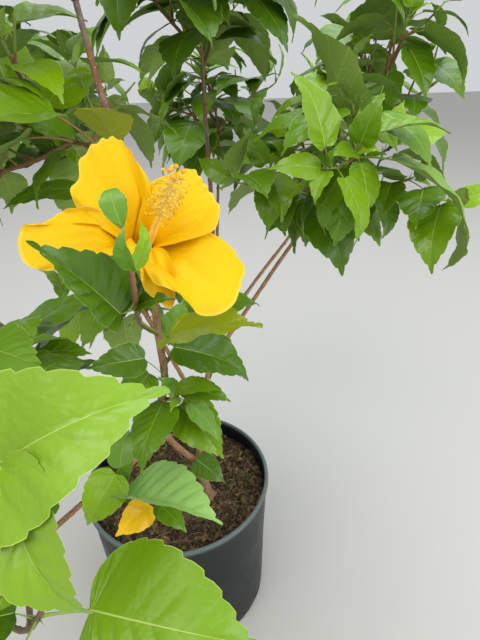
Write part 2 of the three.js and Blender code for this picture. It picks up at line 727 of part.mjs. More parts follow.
// The flower: pedicel and calyx, five petals turned round the throat, and the column
function flowerBody(leader) {
  const right = new THREE.Vector3(1, 0, 0).addScaledVector(FACING, -FACING.x).normalize();
  const high = FACING.clone().cross(right);
  const place = (radial, out, up) => THROAT.clone()
    .addScaledVector(radial, out).addScaledVector(FACING, up);
  const turnedTube = (foot, shape, sides) => taperedTube(
    shape.map(([up]) => foot.clone().addScaledVector(FACING, up)),
    shape.map(([, radius]) => radius),
    sides,
  );
  const calyxFoot = THROAT.clone().addScaledVector(FACING, -CALYX_DEPTH);
  const stalk = centreLine([...PEDICEL, calyxFoot.toArray()], PEDICEL_STEP, leader);
  stalk.push(calyxFoot.clone().addScaledVector(FACING, PEDICEL_STEP / 2));
  let flower = taperedTube(stalk, stalk.map(() => PEDICEL_RADIUS), 5);
  flower = flower.add(turnedTube(calyxFoot, CALYX_SHAPE, 10));
  PETAL_AZIMUTHS.forEach((azimuth, i) => {
    const turn = THREE.MathUtils.degToRad(azimuth);
    const radial = right.clone().multiplyScalar(Math.cos(turn)).addScaledVector(high, Math.sin(turn));
    const side = FACING.clone().cross(radial);
    const rings = PETAL_SHAPE.map(([out, up, share]) => {
      const half = share * PETAL_HALVES[i];
      const roll = PETAL_ROLL * half;
      const middle = place(radial, out * PETAL_LENGTHS[i], up + out * PETAL_LIFTS[i]);
      return [
        middle.clone().addScaledVector(side, -half).addScaledVector(FACING, roll),
        middle.clone().addScaledVector(FACING, PETAL_THICK / 2),
        middle.clone().addScaledVector(side, half).addScaledVector(FACING, -roll),
        middle.clone().addScaledVector(FACING, -PETAL_THICK),
      ];
    });
    flower = flower.add(closedBody(rings));
  });
  return flower.add(turnedTube(THROAT, COLUMN_SHAPE, 6));
}

// All that would reach below the flat cut where the trunk stands
function levelCut() {
  const block = new THREE.BoxGeometry(LEVEL_CUT_WIDE, LEVEL_CUT_WIDE, LEVEL_CUT_DEEP);
  block.translate(TRUNK_FOOT[0], TRUNK_FOOT[1], TRUNK_FOOT[2] - LEVEL_CUT_DEEP / 2);
  return solidFrom(block);
}

// Limbs, each one cut clear of what carries it
const limbs = {};
for (const [name, limb] of Object.entries(LIMBS)) {
  const trunk = name === 'trunk';
  const carriers = (limb.on || []).map((carrier) => limbs[carrier]);
  const line = centreLine(limb.way, trunk ? TRUNK_STEP : LIMB_STEP, carriers[0]);
  const radii = thickness(line, limb.thick, trunk ? TRUNK_FLARE : 0);
  limbs[name] = { line, radii, sides: trunk ? TRUNK_SIDES : LIMB_SIDES };
  let body = taperedTube(line, radii, limbs[name].sides);
  if (trunk) body = body.subtract(levelCut());
  addPart(name, seated(body, carriers), 'bark');
}

// Masses of leaves, each fused on its own stem
const stems = {};
for (const [name, mass] of Object.entries(MASSES)) {
  const line = centreLine(mass.way, STEM_STEP, limbs[mass.on]);
  stems[name] = { line, radii: thickness(line, STEM_THICK), sides: STEM_SIDES };
}
for (const [name, mass] of Object.entries(MASSES)) {
  const { carriers, leaves } = growMass(name, Object.values(limbs), stems);
  const [stem, ...twigs] = carriers;
  let body = seated(taperedTube(stem.line, stem.radii, stem.sides), [limbs[mass.on]]);
  for (const twig of twigs) body = body.add(taperedTube(twig.line, twig.radii, twig.sides));
  for (const leaf of leaves) body = body.add(leafBody(leaf));
  addPart(name, mainBody(body), 'leaf');
}

addPart('bloom', seated(flowerBody(limbs.leader), [limbs.leader]), 'petal');
addPart('pot', potBody(), 'pot');
addPart('soil', soilBody(), 'soil');

export default shrub;
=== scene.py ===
"""A yellow-flowered hibiscus shrub in its black nursery pot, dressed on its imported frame."""

import math

import bpy
import numpy as np
from mathutils import Matrix, Vector


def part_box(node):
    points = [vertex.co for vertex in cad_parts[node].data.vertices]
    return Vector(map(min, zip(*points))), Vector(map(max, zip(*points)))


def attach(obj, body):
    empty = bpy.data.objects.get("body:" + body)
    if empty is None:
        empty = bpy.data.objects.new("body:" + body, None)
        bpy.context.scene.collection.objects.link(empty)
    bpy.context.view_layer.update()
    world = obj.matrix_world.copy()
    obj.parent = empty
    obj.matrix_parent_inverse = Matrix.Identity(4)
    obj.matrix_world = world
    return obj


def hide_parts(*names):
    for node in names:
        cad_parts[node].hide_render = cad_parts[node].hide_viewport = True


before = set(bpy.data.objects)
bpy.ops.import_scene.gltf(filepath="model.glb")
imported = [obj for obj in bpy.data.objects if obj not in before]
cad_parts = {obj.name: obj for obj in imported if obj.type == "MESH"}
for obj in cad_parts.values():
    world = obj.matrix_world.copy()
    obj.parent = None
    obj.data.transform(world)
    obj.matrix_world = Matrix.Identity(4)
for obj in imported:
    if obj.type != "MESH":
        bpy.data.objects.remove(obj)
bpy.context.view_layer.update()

# Camera: a phone held at chest height in front of the shrub and tipped down into it.
# Its wide lens and its place are those that fit the pot's rim, side and foot.
CAMERA_PLACE = (0.1036, -0.5327, 0.8148)
CAMERA_DOWN = 29.5
CAMERA_ROLL = -2.0
FOCAL_PIXELS = 481
PIXELS_HIGH = 640
SENSOR_MM = 36

lens = bpy.data.cameras.new("camera")
lens.sensor_width = SENSOR_MM
lens.lens = SENSOR_MM * FOCAL_PIXELS / PIXELS_HIGH
lens.clip_start = 0.01
camera = bpy.data.objects.new("camera", lens)
bpy.context.scene.collection.objects.link(camera)
tilt = Matrix.Rotation(math.radians(90 - CAMERA_DOWN), 4, "X")
roll = Matrix.Rotation(math.radians(CAMERA_ROLL), 4, "Z")
camera.matrix_world = Matrix.Translation(CAMERA_PLACE) @ tilt @ roll
bpy.context.scene.camera = camera
bpy.context.scene.view_settings.view_transform = "Standard"


# Light: a bright overcast sky, as three large soft boxes and a pale surround.
# The key box hangs high at the front left, where the sheen on the leaves comes from.
SKY_COLOR = "#F0F3F4"
SKY_STRENGTH = 0.72
BOXES_AIM = Vector((0, 0, 0.5))
SOFT_BOXES = {
    "key_box": {"place": (-1.1, -1.9, 3.0), "size": 2.2, "watts": 52, "color": "#FFFBF2"},
    "top_box": {"place": (0.4, 0.8, 3.2), "size": 2.4, "watts": 56, "color": "#F2F7FF"},
    "fill_box": {"place": (2.6, -1.6, 1.6), "size": 2.4, "watts": 52, "color": "#FFFFFF"},
}


def linear(color):
    """The linear colour, with full alpha, of an sRGB hex value."""
    shares = [int(color[i : i + 2], 16) / 255 for i in (1, 3, 5)]
    return [c / 12.92 if c <= 0.04045 else ((c + 0.055) / 1.055) ** 2.4 for c in shares] + [1]


world = bpy.data.worlds.new("overcast_sky")
world.use_nodes = True
world.node_tree.nodes["Background"].inputs["Color"].default_value = linear(SKY_COLOR)
world.node_tree.nodes["Background"].inputs["Strength"].default_value = SKY_STRENGTH
bpy.context.scene.world = world
for name, box in SOFT_BOXES.items():
    light = bpy.data.lights.new(name, "AREA")
    light.size = box["size"]
    light.energy = box["watts"]
    light.color = linear(box["color"])[:3]
    holder = bpy.data.objects.new(name, light)
    bpy.context.scene.collection.objects.link(holder)
    holder.location = box["place"]
    holder.rotation_euler = (BOXES_AIM - holder.location).to_track_quat("-Z", "Y").to_euler()


# Floor: a plain pale matt floor that the pot stands on, wide enough to fill every view.
# It isn't part of the object.
FLOOR_COLOR = "#BFBEBA"
FLOOR_HALF = 9000


def surface(name, **values):
    """A new material with its shader's constant values, and its node tree and shader."""
    material = bpy.data.materials.new(name)
    material.use_nodes = True
    shader = material.node_tree.nodes["Principled BSDF"]
    for key, value in values.items():
        shader.inputs[key.replace("_", " ")].default_value = value
    return material, material.node_tree, shader


def piece(name, points, triangles, finishes, finish_of=None, sharp_above=None):
    """A smooth mesh in metres from points in millimetres and triangles of their numbers."""
    mesh = bpy.data.meshes.new(name)
    corners = np.asarray(triangles, np.int32)
    mesh.vertices.add(len(points))
    mesh.vertices.foreach_set("co", (np.asarray(points) / 1000).astype(np.float32).ravel())
    mesh.loops.add(corners.size)
    mesh.loops.foreach_set("vertex_index", corners.ravel())
    mesh.polygons.add(len(corners))
    mesh.polygons.foreach_set("loop_start", np.arange(0, corners.size, 3, dtype=np.int32))
    for finish in finishes:
        mesh.materials.append(finish)
    if finish_of is not None:
        mesh.polygons.foreach_set("material_index", np.asarray(finish_of, np.int32))
    mesh.update(calc_edges=True)
    mesh.validate()
    mesh.shade_smooth()
    made = bpy.data.objects.new(name, mesh)
    bpy.context.scene.collection.objects.link(made)
    if sharp_above is not None:
        with bpy.context.temp_override(
            object=made, active_object=made, selected_editable_objects=[made], selected_objects=[made]
        ):
            bpy.ops.object.shade_smooth_by_angle(angle=math.radians(sharp_above))
    return made


floor_finish, tree, shader = surface("pale_matt_plaster", Roughness=0.85)
shader.inputs["Base Color"].default_value = linear(FLOOR_COLOR)
corners = [[x * FLOOR_HALF, y * FLOOR_HALF, 0] for x, y in ((-1, -1), (1, -1), (1, 1), (-1, 1))]
floor = piece("floor", corners, [(0, 1, 2), (0, 2, 3)], [floor_finish])


# Pot: a blow-moulded polyethylene nursery pot with a rolled rim bead, two parting lines,
# a rounded foot and drain holes cut through the foot of its wall.
_, pot_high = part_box("pot")
RIM_RADIUS = 1000 * pot_high[0]
POT_HEIGHT = 1000 * pot_high[2]
BASE_RADIUS = 126.2
BEAD_HEIGHT = 8.5
BEAD_PROUD = 3.4
WALL = 2.2
POT_FLOOR = 3
FOOT_ROUND = 4
DRAIN_HOLES = 8
DRAIN_WIDTH = 22
DRAIN_HEAD = 16.6
POT_SIDES = 320
WALL_SWELL, WALL_SWELL_MM, WALL_RIPPLE, WALL_RIPPLE_MM = 0.35, 90, 0.12, 22
PARTING_RIDGE = 0.55
PARTING_WIDTH = 1.3
PARTING_TURNS = (math.radians(-28), math.radians(152))


def unevenness(points, size, seed, waves=10):
    """Smooth random heights of about -1 to 1 over points in mm, in bumps of about that size."""
    draw = np.random.default_rng(seed)
    directions = draw.normal(size=(waves, 3))
    directions /= np.linalg.norm(directions, axis=1)[:, None]
    steps = directions * (2 * np.pi / size * draw.uniform(0.7, 1.4, waves))[:, None]
    phases = draw.uniform(0, 2 * np.pi, waves)
    return np.sin(np.asarray(points) @ steps.T + phases).sum(1) * (1.1 / math.sqrt(waves))


def wall_radius(z):
    """The radius of the tapering wall's outside at a height."""
    return BASE_RADIUS + (RIM_RADIUS - BEAD_PROUD - BASE_RADIUS) * z / POT_HEIGHT


def grid_triangles(rows, columns):
    """Two triangles for each cell of a grid of points, which closes on itself across."""
    row, column = np.meshgrid(np.arange(rows - 1), np.arange(columns), indexing="ij")
    a = (row * columns + column).ravel()
    b = (row * columns + (column + 1) % columns).ravel()
    return np.concatenate([np.stack([a, b, b + columns], 1), np.stack([a, b + columns, a + columns], 1)])


outer = [(0.0, 0.0), (40.0, 0.0), (90.0, 0.0)]
for turn in np.radians([-90, -60, -30, 0]):
    outer.append((wall_radius(FOOT_ROUND) - FOOT_ROUND * (1 - math.cos(turn)),
                  FOOT_ROUND * (1 + math.sin(turn))))
sill, head = len(outer) - 1, len(outer)
outer += [(wall_radius(z), z) for z in (DRAIN_HEAD, *np.linspace(24, POT_HEIGHT - BEAD_HEIGHT - 1, 22))]
bead_middle = POT_HEIGHT - BEAD_HEIGHT / 2
for turn in np.radians(np.arange(-90, 91, 15)):
    outer.append((RIM_RADIUS - BEAD_PROUD * (1 - math.cos(turn)),
                  bead_middle + BEAD_HEIGHT / 2 * math.sin(turn)))
inside = wall_radius(POT_HEIGHT) - WALL
inner = [(inside + 0.6, POT_HEIGHT - 0.1), (inside, POT_HEIGHT - 0.8), (inside, POT_HEIGHT - 6)]
inner += [(wall_radius(z) - WALL, z) for z in np.linspace(220, 30, 8)]
inner_head, inner_sill = len(outer + inner), len(outer + inner) + 1
inner += [(wall_radius(z) - WALL, z) for z in (DRAIN_HEAD, FOOT_ROUND)]
inner += [(wall_radius(POT_FLOOR) - WALL - 1, POT_FLOOR), (60.0, POT_FLOOR), (0.0, POT_FLOOR)]
profile = np.array(outer + inner)
turns = np.arange(POT_SIDES) * 2 * np.pi / POT_SIDES
radius = np.repeat(profile[:, :1], POT_SIDES, 1)
height = np.repeat(profile[:, 1:], POT_SIDES, 1)
on_wall = (radius > 100) & (height > FOOT_ROUND) & (height < POT_HEIGHT - BEAD_HEIGHT)
for turn in PARTING_TURNS:
    off = (turns - turn + np.pi) % (2 * np.pi) - np.pi
    ridge = PARTING_RIDGE * np.exp(-((off * BASE_RADIUS / PARTING_WIDTH) ** 2))
    radius += np.where(on_wall | (height > bead_middle), ridge[None, :], 0) * (height > FOOT_ROUND)
places = np.stack([radius * np.cos(turns), radius * np.sin(turns), height], 2).reshape(-1, 3)
swell = WALL_SWELL * unevenness(places * (1, 1, 0.6), WALL_SWELL_MM, 3)
swell = swell + WALL_RIPPLE * unevenness(places, WALL_RIPPLE_MM, 4)
share = (on_wall.ravel() * swell / radius.ravel().clip(1))[:, None]
places[:, :2] *= 1 + share
triangles = grid_triangles(len(profile), POT_SIDES)

# The drain holes open where the wall's cells lie in a hole's width, between sill and head
hole_half = DRAIN_WIDTH / 2 / BASE_RADIUS
in_hole = np.zeros(POT_SIDES, bool)
for i in range(DRAIN_HOLES):
    middle = (i + 0.5) * 2 * np.pi / DRAIN_HOLES
    cell = turns + np.pi / POT_SIDES
    in_hole |= np.abs((cell - middle + np.pi) % (2 * np.pi) - np.pi) < hole_half
rows = triangles.min(1) // POT_SIDES
columns = triangles[:, 0] % POT_SIDES
cut = in_hole[columns] & ((rows == sill) | (rows == inner_head))
through = {sill: inner_sill, head: inner_head}
edge = []
for column in range(POT_SIDES):
    after = (column + 1) % POT_SIDES
    quads = []
    if in_hole[column]:
        for row, a, b in ((sill, column, after), (head, after, column)):
            quads.append(((row, a), (row, b), (through[row], b), (through[row], a)))
    if in_hole[column] != in_hole[after]:
        a, b = (head, sill) if in_hole[column] else (sill, head)
        quads.append(((a, after), (b, after), (through[b], after), (through[a], after)))
    for quad in quads:
        a, b, c, d = [row * POT_SIDES + place for row, place in quad]
        edge += [(a, b, c), (a, c, d)]
triangles = np.concatenate([triangles[~cut], np.array(edge)])

# Black polyethylene straight from a blow mould: a dull sheen, faint streaks down the wall,
# pale scuffs from handling, a rim lightened as a painted highlight with some rubbed wear, and dust that has
# dried on near the foot.
# A Mix node's colours are its inputs 6 and 7, and the mixed colour is its output 2.
MIX_A, MIX_B, MIXED = 6, 7, 2
PLASTIC_BLACK = "#0E1314"
PLASTIC_WORN = "#12191A"
PLASTIC_SCUFF = "#2A3436"
# The rim's pale blue-grey is mostly a painted highlight on the bead, with some rubbed wear.
RIM_HIGHLIGHT_AND_WEAR = "#6B7878"
DUST = "#352C22"
DUST_HEIGHT_MM = 55
STREAK_MM, CLOUD_MM, SCRATCH_MM = 14, 60, 3.5


def node(tree, kind, inputs=(), **settings):
    """Adds one node with its settings. Its inputs are named or numbered in a dictionary, or listed
    in the node's own order, and each takes a value, or a link from another socket."""
    made = tree.nodes.new(kind)
    for key, value in settings.items():
        setattr(made, key, value)
    for key, value in inputs.items() if isinstance(inputs, dict) else enumerate(inputs):
        if isinstance(value, bpy.types.NodeSocket):
            tree.links.new(value, made.inputs[key])
        else:
            made.inputs[key].default_value = value
    return made


pot_finish, tree, shader = surface("black_polyethylene_blow_moulded", Specular_IOR_Level=0.32)
place = node(tree, "ShaderNodeTexCoord").outputs["Object"]
streaks = node(tree, "ShaderNodeMapping", {"Vector": place, "Scale": (1, 1, 0.12)})
streak = node(tree, "ShaderNodeTexNoise",
              {"Vector": streaks.outputs[0], "Scale": 1000 / STREAK_MM, "Detail": 4.0})
clouds = node(tree, "ShaderNodeTexNoise", {"Vector": place, "Scale": 1000 / CLOUD_MM, "Detail": 5.0})
scratch = node(tree, "ShaderNodeTexNoise", {"Vector": place, "Scale": 1000 / SCRATCH_MM, "Detail": 3.0})
worn = node(tree, "ShaderNodeMix",
            {0: streak.outputs[0], MIX_A: linear(PLASTIC_BLACK), MIX_B: linear(PLASTIC_WORN)},
            data_type="RGBA")
scuffs = node(tree, "ShaderNodeMath", [clouds.outputs[0], scratch.outputs[0]], operation="MULTIPLY")
scuffed = node(tree, "ShaderNodeMapRange", [scuffs.outputs[0], 0.3, 0.42, 0.0, 0.7])
marked = node(tree, "ShaderNodeMix",
              {0: scuffed.outputs[0], MIX_A: worn.outputs[MIXED], MIX_B: linear(PLASTIC_SCUFF)},
              data_type="RGBA")
parts = node(tree, "ShaderNodeSeparateXYZ", [place])
low = node(tree, "ShaderNodeMapRange",
           [parts.outputs["Z"], DUST_HEIGHT_MM / 1000, 0.0, 0.0, 0.75])
dusty = node(tree, "ShaderNodeMath", [low.outputs[0], clouds.outputs[0]], operation="MULTIPLY")
dusted = node(tree, "ShaderNodeMix", {0: dusty.outputs[0], MIX_A: marked.outputs[MIXED], MIX_B: linear(DUST)},
              data_type="RGBA")
# Painted highlight: the top of the rim is lightened towards pale blue-grey by height, partly as rubbed wear.
rim = node(tree, "ShaderNodeMapRange",
           [parts.outputs["Z"], (POT_HEIGHT - 7) / 1000, (POT_HEIGHT - 0.5) / 1000, 0.0, 0.9])
highlighted_worn_rim = node(tree, "ShaderNodeMix",
              {0: rim.outputs[0], MIX_A: dusted.outputs[MIXED], MIX_B: linear(RIM_HIGHLIGHT_AND_WEAR)},
              data_type="RGBA")
tree.links.new(highlighted_worn_rim.outputs[MIXED], shader.inputs["Base Color"])
gloss = node(tree, "ShaderNodeMapRange", [clouds.outputs[0], 0.3, 0.7, 0.34, 0.52])
tree.links.new(gloss.outputs[0], shader.inputs["Roughness"])
grain = node(tree, "ShaderNodeBump", {"Height": scratch.outputs[0], "Strength": 0.12, "Distance": 0.001})
tree.links.new(grain.outputs[0], shader.inputs["Normal"])

pot = piece("nursery_pot", places, triangles, [pot_finish], sharp_above=50)
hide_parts("pot")
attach(pot, "root")


# Potting mix: composted bark chips and root fibres, loose on top and 25 mm below the rim.
# The chips lie on a darker bed of the same mix, which closes the pot from wall to wall.
SOIL_LEVEL = 218
SOIL_RADIUS = wall_radius(SOIL_LEVEL) - WALL - 0.4
SOIL_RINGS = 46
SOIL_TURNS = 150
BED_LUMP, BED_CRUMB = 1.6, 0.8
BED_FOOT = POT_FLOOR + 0.3
CHIPS = 5200
CHIP_LENGTH, CHIP_THICK, CHIP_BROAD = (3, 17), (0.3, 1.1), (0.12, 0.3)
CHIP_CORNERS, CHIP_LEAN, CHIP_TWIST, CHIP_RISE = (0.55, 1.15), 0.35, 0.5, (-0.4, 2.6)
MOST_SHORT = 2.2
TRUNK_CLEAR = 13
FIBRES = 620
FIBRE_LENGTH, FIBRE_THICK, FIBRE_LIFT = (14, 52), (0.18, 0.45), (0.5, 4)
FIBRE_BEND, FIBRE_POINTS = 0.9, 7
TRUNK_FOOT = np.array([45.0, -20.0, SOIL_LEVEL + 0.3])


def bed_height(x, y):
    """The top of the bed: level at the trunk, and a few millimetres lower in waves round it."""
    away = np.clip((np.hypot(x - TRUNK_FOOT[0], y - TRUNK_FOOT[1]) - 30) / 30, 0, 1)
    wave = 0.5 + 0.5 * np.sin(x / 17 + 1) * np.cos(y / 21)
    return SOIL_LEVEL - 1.5 - 3 * away * wave


draw = np.random.default_rng(41)
rings = np.linspace(0, 1, SOIL_RINGS) ** 0.8 * SOIL_RADIUS
around = np.arange(SOIL_TURNS) * 2 * np.pi / SOIL_TURNS
x = np.outer(rings, np.cos(around)).ravel()
y = np.outer(rings, np.sin(around)).ravel()
flat = np.stack([x, y, 0 * x], 1)
top = bed_height(x, y) + BED_LUMP * unevenness(flat, 11, 5) + BED_CRUMB * unevenness(flat, 4, 6)
bed = np.stack([x, y, top], 1)
skirt = bed[-SOIL_TURNS:] * (1, 1, 0) + (0, 0, BED_FOOT)
skirt[:, :2] *= (wall_radius(POT_FLOOR) - WALL - 1.4) / SOIL_RADIUS
bed = np.concatenate([bed, skirt, [[0, 0, BED_FOOT]]])
bed_triangles = grid_triangles(SOIL_RINGS + 1, SOIL_TURNS)
last = np.arange(SOIL_TURNS) + SOIL_RINGS * SOIL_TURNS
base = np.stack([last, np.roll(last, -1), np.full(SOIL_TURNS, len(bed) - 1)], 1)
bed_triangles = np.concatenate([bed_triangles, base])

# Peaty bed between the chips: dark, matt and crumbly, with paler crumbs.
PEAT_DARK, PEAT_PALE, CRUMB_MM = "#1C140C", "#5A472F", 5
bed_finish, tree, shader = surface("composted_bark_bed", Roughness=0.95)
place = node(tree, "ShaderNodeTexCoord").outputs["Object"]
crumbs = node(tree, "ShaderNodeTexNoise", {"Vector": place, "Scale": 1000 / CRUMB_MM, "Detail": 6.0})
tones = node(tree, "ShaderNodeValToRGB", [crumbs.outputs[0]])
tones.color_ramp.elements[0].position = 0.35
tones.color_ramp.elements[0].color = linear(PEAT_DARK)
tones.color_ramp.elements[1].position = 0.7
tones.color_ramp.elements[1].color = linear(PEAT_PALE)
tree.links.new(tones.outputs[0], shader.inputs["Base Color"])
rough = node(tree, "ShaderNodeBump", {"Height": crumbs.outputs[0], "Strength": 0.6, "Distance": 0.002})
tree.links.new(rough.outputs[0], shader.inputs["Normal"])
soil_bed = piece("soil_bed", bed, bed_triangles, [bed_finish], sharp_above=70)
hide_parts("soil")
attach(soil_bed, "root")

# Bark chips: split flakes of composted bark with pointed ends, which lie loose on the bed.
# They are dealt out in five tones, from damp and dark to sun-bleached.
CHIP_TONES = ["#3B2C1D", "#54412B", "#6E573B", "#8C7350", "#5C5A33"]
CHIP_SHARES = [0.3, 0.28, 0.2, 0.1, 0.12]


def grained(name, tone, rough, grain_mm, strength, depth_mm, detail=3.0, gloss=None):
    """A finish of one plain colour over a fine grain, which may also break up its sheen."""
    finish, tree, shader = surface(name, Roughness=rough)
    shader.inputs["Base Color"].default_value = linear(tone)
    place = node(tree, "ShaderNodeTexCoord").outputs["Object"]
    grain = node(tree, "ShaderNodeTexNoise", {"Vector": place, "Scale": 1000 / grain_mm, "Detail": detail})
    relief = node(tree, "ShaderNodeBump",
                  {"Height": grain.outputs[0], "Strength": strength, "Distance": depth_mm / 1000})
    tree.links.new(relief.outputs[0], shader.inputs["Normal"])
    if gloss:
        sheen = node(tree, "ShaderNodeMapRange", [grain.outputs[0], 0.3, 0.7, *gloss])
        tree.links.new(sheen.outputs[0], shader.inputs["Roughness"])
    return finish


chip_finishes = [grained(f"bark_chip_weathered_{i}", tone, 0.85, grain_mm=1.6, strength=0.5, depth_mm=0.6)
                 for i, tone in enumerate(CHIP_TONES)]
box_corners = np.array([[a, b, c] for a in (-1, 1) for b in (-1, 1) for c in (-1, 1)], float)
box_triangles = np.array([(0, 1, 3), (0, 3, 2), (4, 6, 7), (4, 7, 5), (0, 4, 5), (0, 5, 1),
                          (2, 3, 7), (2, 7, 6), (0, 2, 6), (0, 6, 4), (1, 5, 7), (1, 7, 3)])
distance = (SOIL_RADIUS - 3) * np.sqrt(draw.uniform(0, 1, CHIPS))
bearing = draw.uniform(0, 2 * np.pi, CHIPS)
length = CHIP_LENGTH[0] + (CHIP_LENGTH[1] - CHIP_LENGTH[0]) * draw.uniform(0, 1, CHIPS) ** MOST_SHORT
half = np.stack([length / 2, length * draw.uniform(*CHIP_BROAD, CHIPS), draw.uniform(*CHIP_THICK, CHIPS)], 1)
chips = box_corners[None] * half[:, None] * draw.uniform(*CHIP_CORNERS, (CHIPS, 8, 3))
turn = draw.uniform(0, np.pi, CHIPS)
lean, twist = draw.normal(0, CHIP_LEAN, CHIPS), draw.normal(0, CHIP_TWIST, CHIPS)
for i, j, angle in ((1, 2, twist), (0, 2, lean), (0, 1, turn)):
    cos, sin = np.cos(angle)[:, None], np.sin(angle)[:, None]
    chips[..., i], chips[..., j] = (chips[..., i] * cos - chips[..., j] * sin,
                                    chips[..., i] * sin + chips[..., j] * cos)
x, y = distance * np.cos(bearing), distance * np.sin(bearing)
chips += np.stack([x, y, bed_height(x, y) + draw.uniform(*CHIP_RISE, CHIPS)], 1)[:, None]
inside_pot = np.hypot(chips[..., 0], chips[..., 1]).max(1) < SOIL_RADIUS
off_trunk = np.hypot(x - TRUNK_FOOT[0], y - TRUNK_FOOT[1]) > TRUNK_CLEAR
kept = chips[inside_pot & off_trunk]
chip_triangles = (box_triangles[None] + 8 * np.arange(len(kept))[:, None, None]).reshape(-1, 3)
tones = np.repeat(draw.choice(len(CHIP_TONES), len(kept), p=CHIP_SHARES), len(box_triangles))
bark_chips = piece("bark_chips", kept.reshape(-1, 3), chip_triangles, chip_finishes, tones, sharp_above=25)
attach(bark_chips, "root")

# Root fibres: thin dry roots that came with the mix, dull straw to reddish brown.
# They lie loose on top and arch over the chips.
FIBRE_TONES = ["#8A7350", "#A58E68", "#6B4A30"]


def tube(line, radii, sides):
    """Points and triangles of a round limb along a line; each radius may vary round the limb."""
    line = np.asarray(line, float)
    ahead = np.concatenate([line[1:], line[-1:]])
    behind = np.concatenate([line[:1], line[:-1]])
    runs = ahead - behind
    runs /= np.linalg.norm(runs, axis=1)[:, None]
    across = np.array([0.83, 0.37, 0.41])
    frames = []
    for run in runs:
        across = across - (across @ run) * run
        across = across / np.linalg.norm(across)
        frames.append((across, np.cross(run, across)))
    frames = np.array(frames)
    turns = np.arange(sides) * 2 * np.pi / sides
    ways = frames[:, :1] * np.cos(turns)[None, :, None] + frames[:, 1:] * np.sin(turns)[None, :, None]
    radii = np.asarray(radii, float)
    radii = radii[:, None] if radii.ndim == 1 else radii
    points = (line[:, None] + ways * radii[..., None]).reshape(-1, 3)
    first = np.arange(sides)
    last = first + (len(line) - 1) * sides
    points = np.concatenate([points, line[:1], line[-1:]])
    start = np.stack([np.roll(first, -1), first, np.full(sides, len(points) - 2)], 1)
    end = np.stack([last, np.roll(last, -1), np.full(sides, len(points) - 1)], 1)
    return points, np.concatenate([grid_triangles(len(line), sides), start, end])


def joined(parts):
    """The points and triangles of several bodies as those of one mesh."""
    offsets = np.cumsum([0] + [len(points) for points, _ in parts[:-1]])
    triangles = [triangles + offset for (_, triangles), offset in zip(parts, offsets)]
    return np.concatenate([points for points, _ in parts]), np.concatenate(triangles)


fibre_finishes = []
for i, tone in enumerate(FIBRE_TONES):
    finish, tree, shader = surface(f"dry_root_fibre_{i}", Roughness=0.8)
    shader.inputs["Base Color"].default_value = linear(tone)
    fibre_finishes.append(finish)
fibres, tones = [], []
while len(fibres) < FIBRES:
    reach = (SOIL_RADIUS - 8) * math.sqrt(draw.uniform())
    bearing, heading = draw.uniform(0, 2 * np.pi, 2)
    length = draw.uniform(*FIBRE_LENGTH)
    bend, lift = draw.normal(0, FIBRE_BEND), draw.uniform(*FIBRE_LIFT)
    along = np.linspace(0, 1, FIBRE_POINTS)
    heads = heading + bend * along
    x = reach * math.cos(bearing) + np.cumsum(np.cos(heads)) * length / FIBRE_POINTS
    y = reach * math.sin(bearing) + np.cumsum(np.sin(heads)) * length / FIBRE_POINTS
    if np.hypot(x, y).max() < SOIL_RADIUS - 1.5:
        z = bed_height(x, y) + 0.6 + lift * np.sin(np.pi * along)
        thick = np.full(FIBRE_POINTS, draw.uniform(*FIBRE_THICK))
        fibres.append(tube(np.stack([x, y, z], 1), thick, 4))
        tones += [int(draw.integers(len(FIBRE_TONES)))] * len(fibres[-1][1])
root_fibres = piece("root_fibres", *joined(fibres), fibre_finishes, tones)
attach(root_fibres, "root")


# Trunk and boughs: one short flared trunk that forks into a leader and two ranks of boughs.
# Thin young bark over hard wood, ringed by leaf scars. Way points and radii are in mm.
LIMBS = {
    "trunk": {"way": [TRUNK_FOOT, (43, -17, 234), (37, -10, 254), (33, -5, 271)], "thick": (6.2, 6)},
    "leader": {
        "on": "trunk",
        "way": [(33, -5, 270), (2, -44, 359), (14, -120, 478), (31, -165, 543), (33, -177, 625),
                (34, -160, 694), (11, -147, 776), (-3, -130, 847)],
        "thick": (4.6, 2.1),
    },
    "bough_centre": {
        "on": "trunk",
        "way": [(33, -5, 270), (40, 10, 330), (56, 36, 420), (72, 62, 600), (72, 62, 760)],
        "thick": (4.4, 2.2),
    },
    "bough_back": {
        "on": "bough_centre",
        "way": [(42, 14, 345), (58, 100, 420), (70, 190, 530), (76, 238, 620)],
        "thick": (3.6, 2.1),
    },
    "bough_back_left": {
        "on": "bough_centre",
        "way": [(43.2, 15.6, 352), (-20, 80, 450), (-92, 138, 560), (-140, 168, 660)],
        "thick": (3.4, 2.1),
    },
    "bough_right": {
        "on": "bough_centre",
        "way": [(56, 36, 420), (110, 78, 480), (182, 94, 582), (245, 75, 670)],
        "thick": (3.4, 2.1),
    },
    "bough_right_back": {
        "on": "bough_back",
        "way": [(58, 100, 420), (138, 168, 500), (190, 198, 556), (216, 210, 602)],
        "thick": (3, 2.1),
    },
    "bough_left": {
        "on": "leader",
        "way": [(2, -44, 359), (-70, -40, 432), (-150, -58, 530), (-205, -70, 620)],
        "thick": (3.6, 2.1),
    },
    "bough_fore": {
        "on": "leader",
        "way": [(2, -52, 372), (-58, -165, 400), (-88, -280, 445), (-62, -352, 492)],
        "thick": (3.4, 2.1),
    },
}
TRUNK_STEP, LIMB_STEP = 7, 32
TRUNK_FLARE, FLARE_HEIGHT = 4.2, 9
LIMB_SIDES = 26
RING_STEP = 2.4
SCAR_STEP = 31
SCAR_SWELL, SCAR_REACH = 0.16, 2.6
RING_GROOVE, RING_AFTER, RING_REACH = 0.05, 3, 0.9
COLLAR_SWELL, COLLAR_REACH = 0.45, 9
BURIED = 5
ROOT_RIDGES, ROOT_RELIEF, ROOT_REACH = 5, 0.22, 8
FURROW_MM, FURROW_RELIEF, LUMP_MM, LUMP_RELIEF = 3.2, 0.035, 9, 0.03
TURN = math.radians(137.5)


